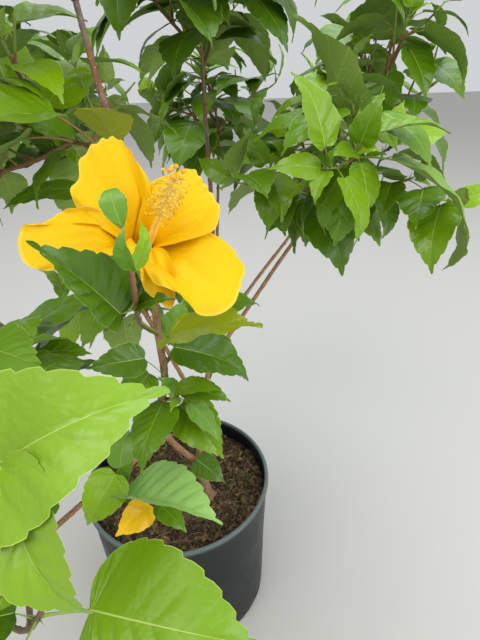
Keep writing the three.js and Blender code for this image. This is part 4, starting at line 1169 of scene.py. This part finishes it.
twig_bodies, twig_tones = [], []
for name, mass in MASSES.items():
    carriers, leaves = grown[name]
    shoots, _ = finer[name]
    kinds = [(carriers[0], STEM_THICK, (0, 0, 1, 1))]
    kinds += [(line, TWIG["thick"], (0, 1, 1, 2)) for line in carriers[1:]]
    kinds += [(line, SHOOT_THICK, (1, 2, 2, 3)) for line in shoots]
    for line, thick, stages in kinds:
        points, triangles = twig_body(line, thick, len(twig_bodies))
        rows = len(points) // TWIG_SIDES
        twig_bodies.append((points, triangles))
        twig_tones.append(tone_along(triangles, rows, np.array(stages)))
twigs = piece("twigs", *joined(twig_bodies), twig_finishes, np.concatenate(twig_tones))
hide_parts(*MASSES)
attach(twigs, "root")


# Leaves: ovate hibiscus blades with rounded teeth, three veins from the base and side veins
# that each end in a tooth. Blade, veins, pale edge and matt underside each have their own finish.
OUTLINE = [(0, 0), (-0.03, 0.18), (0.03, 0.36), (0.14, 0.47), (0.28, 0.5), (0.45, 0.45), (0.62, 0.34),
           (0.77, 0.2), (0.89, 0.07), (1, 0)]
TOOTH_PHASES = (0, 0.34, 0.76, 0.81)
TOOTH_OUT = (0, 0.74, 1, 0.95)
TOOTH_DEPTH, TOOTH_ACROSS, TOOTH_FORWARD = 0.022, 0.75, 0.65
BLADE_ACROSS = (0.016, 0.3, 0.64, 0.984, 1)
HERO_ACROSS = (0.012, 0.14, 0.28, 0.42, 0.56, 0.7, 0.84, 0.989, 1)
UNDER_ACROSS = (0.025, 0.5)
HERO_UNDER = (0.02, 0.25, 0.5, 0.75)
VEIN_PHASE = 0.785
BLADE, RIB, MARGIN, BELOW, BELOW_RIB = range(5)
LEAF_THICK, RIB_PROUD = 0.4, 0.4
FOLD, CURL, WAVE, WAVES, BEND = (-0.04, 0.3), (0.1, 1), (0.006, 0.024), (2, 3.5), (-0.05, 0.05)
CURL_FROM = 0.45
QUILT = 0.022
TINTS = {
    "dark": "#4B7106", "deep": "#567C08", "mid": "#638C0A", "fresh": "#71980C", "bright": "#82AA02",
    # The sage tint is pale as a painted sheen of sky reflection, not as the leaf's own green.
    "light": "#7DA320", "olive": "#9DAC10", "sage": "#AAD97A", "young": "#6F9A34", "yellowed": "#FFC800",
}
TINT_RUN = ("dark", "deep", "mid", "fresh", "bright", "light")
SHARED_TISSUES = {
    "leaf_midrib_pale": ("#AEBF5E", 0.5, 3, 0.1), "leaf_margin_pale": ("#AAC258", 0.5, 3, 0.1),
    "leaf_underside_matt": ("#88A548", 0.65, 2, 0.4), "leaf_underside_veins": ("#A2B662", 0.65, 2, 0.3),
    "leaf_underside_olive": ("#A3AE1E", 0.6, 2, 0.3),
}
SPRAY_STEP, SPRAY_SPREAD, TIP_LIGHTER, YOUNG_SHARE = 5, 2.4, 2.2, 0.06
HERO_LENGTH, SMALL_LENGTH = 60, 45
SHEEN_MM = 24
PIECE_LIMIT = 190000


def blade_template(teeth, across, under):
    """A blade's rows and columns as shares, its triangles and what each triangle belongs to."""
    rows_u = np.append(((np.arange(teeth)[:, None] + TOOTH_PHASES) / teeth).ravel(), 1)
    saw = np.append(np.tile(TOOTH_OUT, teeth), 0)
    bulge = np.append(np.tile([(p - VEIN_PHASE) % 1 for p in TOOTH_PHASES], teeth), 0)
    top = np.array([-t for t in reversed(across)] + list(across))
    below = np.array([-t for t in reversed(under)] + list(under))
    rows, columns, lower = len(rows_u), len(top), len(below)
    number = np.arange(rows * columns).reshape(rows, columns)
    under_number = rows * columns + np.arange(rows * lower).reshape(rows, lower)
    under_number = np.concatenate([number[:, :1], under_number, number[:, -1:]], 1)
    for grid in (number, under_number):
        grid[0] = 0
        grid[-1] = (rows - 1) * columns
    triangles, kinds = [], []
    for i in range(rows - 1):
        in_vein = i % len(TOOTH_PHASES) == 2
        for grid, is_top in ((number, True), (under_number, False)):
            cells = grid.shape[1] - 1
            for j in range(cells):
                a, b, c, d = grid[i, j], grid[i, j + 1], grid[i + 1, j + 1], grid[i + 1, j]
                kind = BLADE if is_top else BELOW
                if j == cells // 2:
                    kind = RIB if is_top else BELOW_RIB
                elif is_top and j in (0, cells - 1):
                    kind = MARGIN
                elif in_vein and not is_top:
                    kind = BELOW_RIB
                for corner in ((a, b, c), (a, c, d)):
                    if len(set(corner)) == 3:
                        triangles.append(corner if is_top else corner[::-1])
                        kinds.append(kind)
    is_under = np.repeat([False, True], [rows * columns, rows * lower])
    shares = {"u": rows_u, "saw": saw, "bulge": bulge}
    shares = {key: np.concatenate([np.repeat(v, columns), np.repeat(v, lower)]) for key, v in shares.items()}
    shares["t"] = np.concatenate([np.tile(top, rows), np.tile(below, rows)])
    shares["under"] = is_under
    used, triangles = np.unique(np.array(triangles), return_inverse=True)
    return {**{key: v[used] for key, v in shares.items()}, "triangles": triangles.reshape(-1, 3),
            "kinds": np.array(kinds)}


TEMPLATES = {
    "small": blade_template(6, BLADE_ACROSS, UNDER_ACROSS),
    "plain": blade_template(9, BLADE_ACROSS, UNDER_ACROSS),
    "hero": blade_template(12, HERO_ACROSS, HERO_UNDER),
}
outline_curve = spline([(s, w, 0) for s, w in OUTLINE], 180)


def blade_body(leaf, template, random):
    """One blade in its own outline: folded at the midrib, quilted between veins and waved."""
    u, t, under = template["u"], template["t"], template["under"]
    length, broad = leaf["length"], leaf["broad"]
    folds = np.broadcast_to(leaf.get("fold", between(FOLD, random())), 2)
    curl = leaf.get("curl", between(CURL, random()))
    bend = 0 if leaf.get("named") else between(BEND, random())
    wave, waves = between(WAVE, random()), between(WAVES, random())
    phase = 2 * math.pi * random()
    share = np.abs(t)
    steps = np.linspace(0, 1, len(outline_curve))
    edge_s, half = (np.interp(u, steps, outline_curve[:, k]) for k in (0, 1))
    teeth = TOOTH_DEPTH * np.clip((u - 0.1) / 0.18, 0, 1) * (template["saw"] - 0.5) * (u < 1)
    half = half + teeth * TOOTH_ACROSS / broad
    edge_s = edge_s + teeth * TOOTH_FORWARD
    rib_s = 0.05 * u + 0.95 * np.clip((u - 0.36) / 0.64, 0, 1) ** 1.25
    s = rib_s + (edge_s - rib_s) * share
    x = t * half * broad * length * (1 - leaf.get("wedge", 0) * (1 - np.clip(edge_s / 0.5, 0, 1)))
    x = np.where(t < 0, x * leaf.get("narrow", 1), x)
    height = length * LEAF["arch"] * 4 * s * (1 - s) + np.where(t > 0, folds[1], folds[0]) * np.abs(x)
    height = height + wave * length * np.sin(2 * math.pi * waves * edge_s + phase + 2 * (t > 0)) * share**1.5
    fading = np.clip(u / 0.3, 0, 1) * np.clip((1 - u) / 0.3, 0, 1) ** 0.5
    swell = np.sin(np.pi * template["bulge"]) ** 0.8 * np.sin(np.pi * np.clip(share, 0, 0.95) ** 0.8)
    uneven = leaf.get("quilt", 1) * (0.7 + 0.45 * np.sin(5 * u + phase + 2 * (t > 0)))
    quilted = QUILT * length * fading * swell * uneven
    height = height + np.where(under, -LEAF_THICK - RIB_PROUD * (share < 0.03), quilted)
    x = x + bend * length * s * s
    round_end = curl * np.clip((s - CURL_FROM) / (1 - CURL_FROM), 0, 1)
    radius = (1 - CURL_FROM) / curl
    height = height - length * radius * (1 - np.cos(round_end))
    s = np.minimum(s, CURL_FROM) + radius * np.sin(round_end)
    return (leaf["base"] + np.outer(s * length, leaf["along"]) + np.outer(x, leaf["side"])
            + np.outer(height, leaf["normal"]))


def leaf_finish(name, tone, rough, grain_mm, strength):
    """Leaf tissue of one plain colour, with a waxy sheen and its cells as fine relief."""
    finish, tree, shader = surface(name, IOR=1.47)
    shader.inputs["Base Color"].default_value = linear(tone)
    place = node(tree, "ShaderNodeTexCoord").outputs["Object"]
    cells = node(tree, "ShaderNodeTexVoronoi", {"Vector": place, "Scale": 1000 / grain_mm},
                 feature="SMOOTH_F1")
    broad = node(tree, "ShaderNodeTexNoise", {"Vector": place, "Scale": 1000 / SHEEN_MM, "Detail": 3.0})
    gloss = node(tree, "ShaderNodeMapRange", [broad.outputs[0], 0.3, 0.7, rough - 0.08, rough + 0.1])
    tree.links.new(gloss.outputs[0], shader.inputs["Roughness"])
    swell = node(tree, "ShaderNodeMath", [1.0, cells.outputs[0]], operation="SUBTRACT")
    relief = node(tree, "ShaderNodeBump",
                  {"Height": swell.outputs[0], "Strength": strength, "Distance": 0.001})
    tree.links.new(relief.outputs[0], shader.inputs["Normal"])
    return finish


leaf_finishes = []
for name, tone in TINTS.items():
    leaf_finishes.append(leaf_finish(f"leaf_blade_waxy_{name}", tone, 0.34, 3.4, 0.35))
for name, values in SHARED_TISSUES.items():
    leaf_finishes.append(leaf_finish(name, *values))


def finish_numbers(tint):
    """The finishes of a leaf's blade, midrib, margin, underside and the veins below."""
    own = list(TINTS).index(tint)
    if tint == "yellowed":
        return np.full(5, own)
    midrib, margin, underside, veins, olive = range(len(TINTS), len(leaf_finishes))
    return np.array([own, midrib, margin, olive if tint == "olive" else underside, veins])


tint_draw = seeded(97)
blade_draw = seeded(1931)
all_leaves = []
for number, name in enumerate(MASSES):
    for leaf in grown[name][1] + finer[name][1]:
        if "tint" not in leaf:
            spray = (number * SPRAY_STEP) % 3
            place = spray + TIP_LIGHTER * leaf["share"] ** 2 + SPRAY_SPREAD * (tint_draw() - 0.5)
            leaf["tint"] = TINT_RUN[int(np.clip(math.floor(place + 0.5), 0, len(TINT_RUN) - 1))]
            if tint_draw() < YOUNG_SHARE:
                leaf["tint"] = "young"
        kind = "hero" if leaf.get("named") and leaf["length"] > HERO_LENGTH else "plain"
        if leaf["length"] < SMALL_LENGTH:
            kind = "small"
        all_leaves.append((leaf, kind))

batches, count = [[]], 0
for leaf, kind in all_leaves:
    size = len(TEMPLATES[kind]["triangles"])
    if count + size > PIECE_LIMIT:
        batches.append([])
        count = 0
    batches[-1].append((leaf, kind))
    count += size
for number, batch in enumerate(batches):
    bodies, tones = [], []
    for leaf, kind in batch:
        template = TEMPLATES[kind]
        bodies.append((blade_body(leaf, template, blade_draw), template["triangles"]))
        tones.append(finish_numbers(leaf["tint"])[template["kinds"]])
    leaves = piece(f"leaves_{number}", *joined(bodies), leaf_finishes, np.concatenate(tones), sharp_above=50)
    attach(leaves, "root")


# Petioles: the leaves' own stalks, green or reddish, and thicker where they leave the twig.
# Each bows out from its node and turns into the blade's own direction.
PETIOLE_THICK, PETIOLE_LEAF, PETIOLE_LIMITS = (0.95, 0.7), 90, (0.35, 1.2)
PETIOLE_POINTS, PETIOLE_RISE, PETIOLE_BOW, PETIOLE_SWELL = 8, 0.1, 0.12, 0.5
PETIOLE_TONES = {"petiole_green": "#8FA848", "petiole_reddish": "#9A7A48"}
REDDISH_SHARE = 0.3
petiole_finishes = [leaf_finish(name, tone, 0.5, 2, 0.3) for name, tone in PETIOLE_TONES.items()]
bodies, tones = [], []
for leaf, kind in all_leaves:
    start, end = leaf["root"], leaf["base"]
    reach = np.linalg.norm(end - start)
    rise = unit(end - start + UP * 0.1) * PETIOLE_RISE * reach
    middle = (start + end) / 2 + rise - leaf["along"] * PETIOLE_BOW * reach
    share = np.linspace(0, 1, PETIOLE_POINTS)[:, None]
    end = end + leaf["along"] * 1.5
    line = (1 - share) ** 2 * start + 2 * share * (1 - share) * middle + share**2 * end
    size = np.clip(leaf["length"] / PETIOLE_LEAF, *PETIOLE_LIMITS)
    swell = 1 + PETIOLE_SWELL * np.exp(-((share.ravel() * 8) ** 2))
    radii = np.linspace(*PETIOLE_THICK, PETIOLE_POINTS) * size * swell
    bodies.append(tube(line, radii, 6))
    tones += [int(tint_draw() < REDDISH_SHARE)] * len(bodies[-1][1])
petioles = piece("petioles", *joined(bodies), petiole_finishes, tones)
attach(petioles, "root")


# Stipules: two awl-shaped green bristles on the twig, one at each side of a leaf's node.
# They are stiff and taper to a fine point.
STIPULE_LENGTH, STIPULE_THICK = (4, 9), (0.45, 0.32, 0.08)
bodies = []
for leaf, kind in all_leaves:
    out = unit(leaf["base"] - leaf["root"])
    for sign in (-1, 1):
        way = unit(out * 0.5 + leaf["side"] * sign * 0.7 + UP * 0.6)
        length = between(STIPULE_LENGTH, tint_draw())
        root = leaf["root"] + way * 0.8
        line = np.array([root, root + way * length * 0.5, root + unit(way + UP * 0.3) * length])
        bodies.append(tube(line, STIPULE_THICK, 4))
stipules = piece("stipules", *joined(bodies), [petiole_finishes[0]])
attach(stipules, "root")


# Bloom: five overlapping satin petals round a long column, on a green calyx and pedicel.
# Each petal is one thin shell, from its claw in the throat to its ruffled margin. A margin is given
# in millimetres to the right of the throat and above it, in the plane that the flower faces out of.
FACING = unit(np.array([0.35, -0.637, 0.682]))
RIGHT = unit(np.array([1.0, 0, 0]) - FACING[0] * FACING)
HIGH = np.cross(FACING, RIGHT)
PETALS = [
    {"margin": [(26, -9), (40, -2), (44, 10), (41, 24), (32, 38), (27, 45), (16, 42), (5, 36), (-2, 27),
                (-3, 17)],
     "creases": (-0.4, 0.1)},
    {"margin": [(-1, 18), (-2, 28), (-7, 33), (-11, 38), (-15, 47), (-23, 56), (-32, 52), (-40, 44),
                (-45, 35), (-45, 23), (-49, 13), (-43, 2), (-36, -4)],
     "creases": (-0.3, 0.25)},
    {"margin": [(-33, 3), (-43, 2), (-52, -1), (-59, -8), (-65, -13), (-73, -13), (-75, -19), (-74, -28),
                (-70, -36), (-62, -40), (-50, -38), (-36, -32)],
     "creases": (-0.2, 0.4)},
    {"margin": [(-18, -24), (-15, -34), (-8, -36), (-4, -43), (4, -50), (12, -55), (17, -51), (16, -38)],
     "creases": (0.1,)},
    {"margin": [(-3, -32), (2, -44), (14, -49), (22, -54), (30, -60), (44, -58), (55, -49), (60, -36),
                (65, -22), (60, -16), (56, -10), (48, -4), (38, -1), (26, -4)],
     "creases": (-0.35, -0.05, 0.5)},
]
CLAW_RADIUS, CLAW_HALF = 3, 1.5
PETAL_PROFILE = [(0.05, -44), (0.2, -16), (0.45, 2), (0.8, 5), (1.05, 1)]
PETAL_ROLL = 0.1
PETAL_ROWS, PETAL_COLUMNS = 46, 71
PETAL_THICK = 0.45
PULL_OUT, PULL_ASIDE = 0.25, 0.55
CREASE_DEPTH, CREASE_HALF, CREASE_SWAY = 2.2, 0.06, 0.08
SLOW_WAVE, SLOW_SIZE, EDGE_WAVE, EDGE_WAVES = 3.4, 2.2, 2, 9
RIDGE, RIDGES = 0.28, 34
RUFFLE_HIGH, RUFFLE_OUT, RUFFLES = 1.2, 0.4, 34
PETAL_GOLD, PETAL_YELLOW, PETAL_PALE, PETAL_RIM = "#F2BC00", "#F0B800", "#F0BA0A", "#F3C63C"
PETAL_ZONES = 9
STREAKS, STREAK_REACH = 13, 0.12


def mixed(first, second, share):
    """The hex colour that lies at a share of the way from one hex colour to another."""
    pairs = [(int(first[i : i + 2], 16), int(second[i : i + 2], 16)) for i in (1, 3, 5)]
    return "#" + "".join(f"{round(a + (b - a) * share):02X}" for a, b in pairs)


# Petal tissue: soft satin that lets a little light in, from gold at the claw to a paler rim.
petal_finishes = []
for i in range(PETAL_ZONES + 1):
    share = i / (PETAL_ZONES - 1)
    tone = mixed(PETAL_GOLD, PETAL_YELLOW, min(1, share * 2.2))
    tone = mixed(tone, PETAL_PALE, max(0, share * 2 - 1))
    tone = PETAL_RIM if i == PETAL_ZONES else tone
    finish = grained(f"petal_satin_{i}", tone, 0.5, grain_mm=2.5, strength=0.22, depth_mm=0.8, detail=4.0,
                     gloss=(0.42, 0.6))
    shader = finish.node_tree.nodes["Principled BSDF"]
    shader.inputs["Subsurface Weight"].default_value = 0.25
    shader.inputs["Subsurface Radius"].default_value = (1, 0.7, 0.2)
    shader.inputs["Subsurface Scale"].default_value = 0.003
    shader.inputs["Specular IOR Level"].default_value = 0.16
    petal_finishes.append(finish)

profile = spline([(out, up, 0) for out, up in PETAL_PROFILE], 100)


def petal_shell(face):
    """The points and triangles of a thin petal from its face, with a back that closes on its edges."""
    grid = np.arange(PETAL_ROWS * PETAL_COLUMNS).reshape(PETAL_ROWS, PETAL_COLUMNS)
    under = grid + grid.size
    under[0], under[-1], under[:, 0], under[:, -1] = grid[0], grid[-1], grid[:, 0], grid[:, -1]
    triangles = []
    for side, orders in ((grid, ((0, 2, 1), (0, 3, 2))), (under, ((0, 1, 2), (0, 2, 3)))):
        cells = [side[:-1, :-1], side[:-1, 1:], side[1:, 1:], side[1:, :-1]]
        triangles += [np.stack([cells[k].ravel() for k in order], 1) for order in orders]
    triangles = np.concatenate(triangles)
    points = np.concatenate([face, face - FACING * PETAL_THICK])
    used = np.unique(triangles)
    return points[used], np.searchsorted(used, triangles)


def petal_body(petal, number):
    """A petal's shell, and the zone of colour of each of its triangles. Every point lies at a share
    of the way out from the claw, a, and across the petal from -1 to 1, b."""
    # Flat shape: each line runs from the claw to its own place on the margin
    a, b = np.meshgrid(np.linspace(0, 1, PETAL_ROWS), np.linspace(-1, 1, PETAL_COLUMNS), indexing="ij")
    a = a ** 0.8
    margin = spline([(x, y, 0) for x, y in petal["margin"]], 240)[:, :2]
    gone = np.append(0, np.cumsum(np.linalg.norm(np.diff(margin, axis=0), axis=1)))
    gone = 2 * gone / gone[-1] - 1
    end = np.stack([np.interp(b, gone, margin[:, k]) for k in (0, 1)], 2)
    middle = margin[len(margin) // 2]
    length = np.linalg.norm(middle)
    outward = middle / length
    aside = np.array([-outward[1], outward[0]])
    claw = outward * CLAW_RADIUS + aside * b[..., None] * CLAW_HALF
    control = middle * PULL_OUT + (end - middle) * PULL_ASIDE
    flat = ((1 - a) ** 2)[..., None] * claw + (2 * a * (1 - a))[..., None] * control + (a**2)[..., None] * end
    places = np.stack([a * 3, b * 2 + number * 7, 0 * a], 2).reshape(-1, 3)
    slow = unevenness(places, SLOW_SIZE, 900 + number).reshape(a.shape)
    fringe = np.clip(a / 0.3 - 2.33, 0, 1) ** 2
    ruffle = np.sin(RUFFLES * b + 4 * np.sin(5 * b + number) + 1.7 * number)
    ruffle = fringe * (0.55 + 0.45 * slow) * ruffle
    flat = flat * (1 + RUFFLE_OUT * ruffle / length)[..., None]

    # Relief: the profile of the open flower, then roll, waves, ruffles, ridges and creases
    height = np.interp(np.linalg.norm(flat, axis=2) / length, profile[:, 0], profile[:, 1])
    height = height - PETAL_ROLL * (flat @ aside)
    height = height + SLOW_WAVE * slow * a**2 + EDGE_WAVE * a**5 * np.sin(EDGE_WAVES * b + 2 * number)
    height = height + RUFFLE_HIGH * ruffle
    height = height - RIDGE * np.cos(RIDGES * b + 2 * slow) * np.clip(a * 3 - 0.5, 0, 1) * (1 - a**4)
    for crease in petal["creases"]:
        across_crease = (b - crease - CREASE_SWAY * slow) / CREASE_HALF
        height = height - CREASE_DEPTH * np.sin(np.pi * np.clip(a * 1.1 - 0.1, 0, 1)) / (1 + across_crease**2)
    face = (THROAT + flat[..., :1] * RIGHT + flat[..., 1:] * HIGH + height[..., None] * FACING).reshape(-1, 3)

    # Colour: zones from the claw outward, with gold streaks near the throat and a pale rim
    zone = a + 0.07 * slow - STREAK_REACH * np.cos(STREAKS * b) * (1 - a)
    zone = np.clip((zone * PETAL_ZONES).astype(int), 0, PETAL_ZONES - 1)
    zone[-2:] = PETAL_ZONES
    return petal_shell(face), np.tile(zone[:-1, :-1].ravel(), 4)


bodies, tones = [], []
for number, petal in enumerate(PETALS):
    body, zones = petal_body(petal, number)
    bodies.append(body)
    tones.append(zones)
petals = piece("petals", *joined(bodies), petal_finishes, np.concatenate(tones), sharp_above=80)
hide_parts("bloom")
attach(petals, "root")

# Column: a pale tube of joined filaments, with about ninety anthers on short threads of their
# own, and five round stigma pads beyond them.
COLUMN = [(-40, 3), (0, 2.2), (18, 2), (40, 1.8), (54, 1.3)]
COLUMN_RIGHT, COLUMN_LOW = 3.4, 1.6
ANTHERS = 96
ANTHER_ZONE = (16, 55)
FILAMENT_LENGTH = (4.5, 8)
FILAMENT_THICK = (0.28, 0.24, 0.2)
ANTHER_SIZE = (1.1, 0.75)
POLLEN_SHARE = 0.55
STIGMAS, STIGMA_SPREAD, STIGMA_SIZE = 5, math.tan(math.radians(22)), (1.1, 1.5)
COLUMN_TONES = {"column_pale_yellow": "#F8DA6A", "anther_golden": "#E2A81C", "pollen_yellow": "#F2C62E"}

# The column is soft and pale, and its anthers are matt and powdery with pollen.
column_finishes = [grained(name, tone, 0.7, grain_mm=0.5, strength=0.6, depth_mm=0.4)
                   for name, tone in COLUMN_TONES.items()]


def ray(turn):
    """The way out of the flower's middle at a turn, in the plane that it faces out of."""
    return RIGHT * math.cos(turn) + HIGH * math.sin(turn)


def column_place(radial, out, up):
    """The place that lies out from the column's middle and up along it."""
    return THROAT + RIGHT * COLUMN_RIGHT - HIGH * COLUMN_LOW + radial * out + FACING * up


def pad(centre, long_way, sizes, rings=5, sides=8):
    """A small rounded body, longest along one way."""
    turns = np.linspace(-np.pi / 2, np.pi / 2, rings)
    line = np.array([centre + long_way * sizes[0] * math.sin(t) for t in turns])
    return tube(line, np.maximum(np.cos(turns) * sizes[1], 0.05), sides)


heights, radii = np.array(COLUMN, float).T
steps = np.linspace(heights[0], heights[-1], 40)
bodies = [tube(np.array([column_place(RIGHT, 0, up) for up in steps]), np.interp(steps, heights, radii), 12)]
tones = [0] * len(bodies[0][1])
draw = seeded(77)
for i in range(ANTHERS):
    up = between(ANTHER_ZONE, (i + 0.5) / ANTHERS) + draw() - 0.5
    radial = ray(i * TURN)
    length = between(FILAMENT_LENGTH, draw())
    foot = column_place(radial, 1.5, up)
    end = column_place(radial, 1.5 + length, up + between((0.5, 2.5), draw()))
    bodies.append(tube(np.array([foot, (foot + end) / 2 + FACING * 0.3, end]), FILAMENT_THICK, 4))
    tones += [0] * len(bodies[-1][1])
    way = unit(np.cross(radial, FACING) + radial * (draw() - 0.5))
    bodies.append(pad(end, way, ANTHER_SIZE))
    tones += [1 + int(draw() < POLLEN_SHARE)] * len(bodies[-1][1])
top = column_place(RIGHT, 0, 53)
for i in range(STIGMAS):
    way = unit(FACING + ray(i * 2 * math.pi / STIGMAS + 0.4) * STIGMA_SPREAD)
    bodies.append(tube(np.array([top, top + way * 5, top + way * 9.5]), (0.5, 0.45, 0.4), 6))
    tones += [0] * len(bodies[-1][1])
    bodies.append(pad(top + way * 10.2, FACING, STIGMA_SIZE))
    tones += [1] * len(bodies[-1][1])
column = piece("staminal_column", *joined(bodies), column_finishes, tones)
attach(column, "root")

# Calyx and pedicel: a green cup of five pointed lobes, seven narrow bracts under it, and the
# jointed green flower stalk from the leader.
CALYX_DEPTH = 60
PEDICEL = [(33, -176, 622), (31, -190, 650)]
PEDICEL_RADIUS = 1.7
CUP_ROWS, CUP_SIDES, CUP_THICK = 15, 60, 0.5
CUP_SHARES, CUP_RADII = (0, 0.12, 0.45, 1), (1.8, 6.2, 7.6, 9.8)
BRACTS = 7
CALYX_TONE = "#86A53C"
calyx_finish = leaf_finish("calyx_soft_green", CALYX_TONE, 0.6, 2, 0.4)
foot = THROAT - FACING * CALYX_DEPTH
stalk = centre_line([*PEDICEL, foot], 14, lines["leader"])
stalk = spline(np.concatenate([stalk, [foot + FACING * 5]]), 26)
bodies = [tube(stalk, PEDICEL_RADIUS * (1 + 0.18 * np.exp(-((np.arange(27) - 18) / 1.5) ** 2)), 12)]
turns = np.arange(CUP_SIDES) * 2 * np.pi / CUP_SIDES
lobe = 0.5 + 0.5 * np.cos(5 * turns)
rays = np.outer(np.cos(turns), RIGHT) + np.outer(np.sin(turns), HIGH)
outer_cup, inner_cup = [], []
for share in np.linspace(0, 1, CUP_ROWS):
    up = -1 + share * (20 + 14 * lobe**0.7)
    ring = foot + rays * np.interp(share, CUP_SHARES, CUP_RADII) + np.outer(up, FACING)
    outer_cup.append(ring)
    inner_cup.append(ring - rays * CUP_THICK)
bodies.append((np.concatenate(outer_cup + inner_cup[::-1]), grid_triangles(2 * CUP_ROWS, CUP_SIDES)))
for i in range(BRACTS):
    radial = ray(i * 2 * math.pi / BRACTS)
    root = foot + FACING
    line = np.array([root + radial * 3, root + radial * 7 + FACING * 2, root + radial * 10.5 + FACING * 8])
    bodies.append(tube(spline(line, 6), np.linspace(0.9, 0.2, 7), 6))
calyx = piece("calyx_and_pedicel", *joined(bodies), [calyx_finish], sharp_above=70)
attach(calyx, "root")
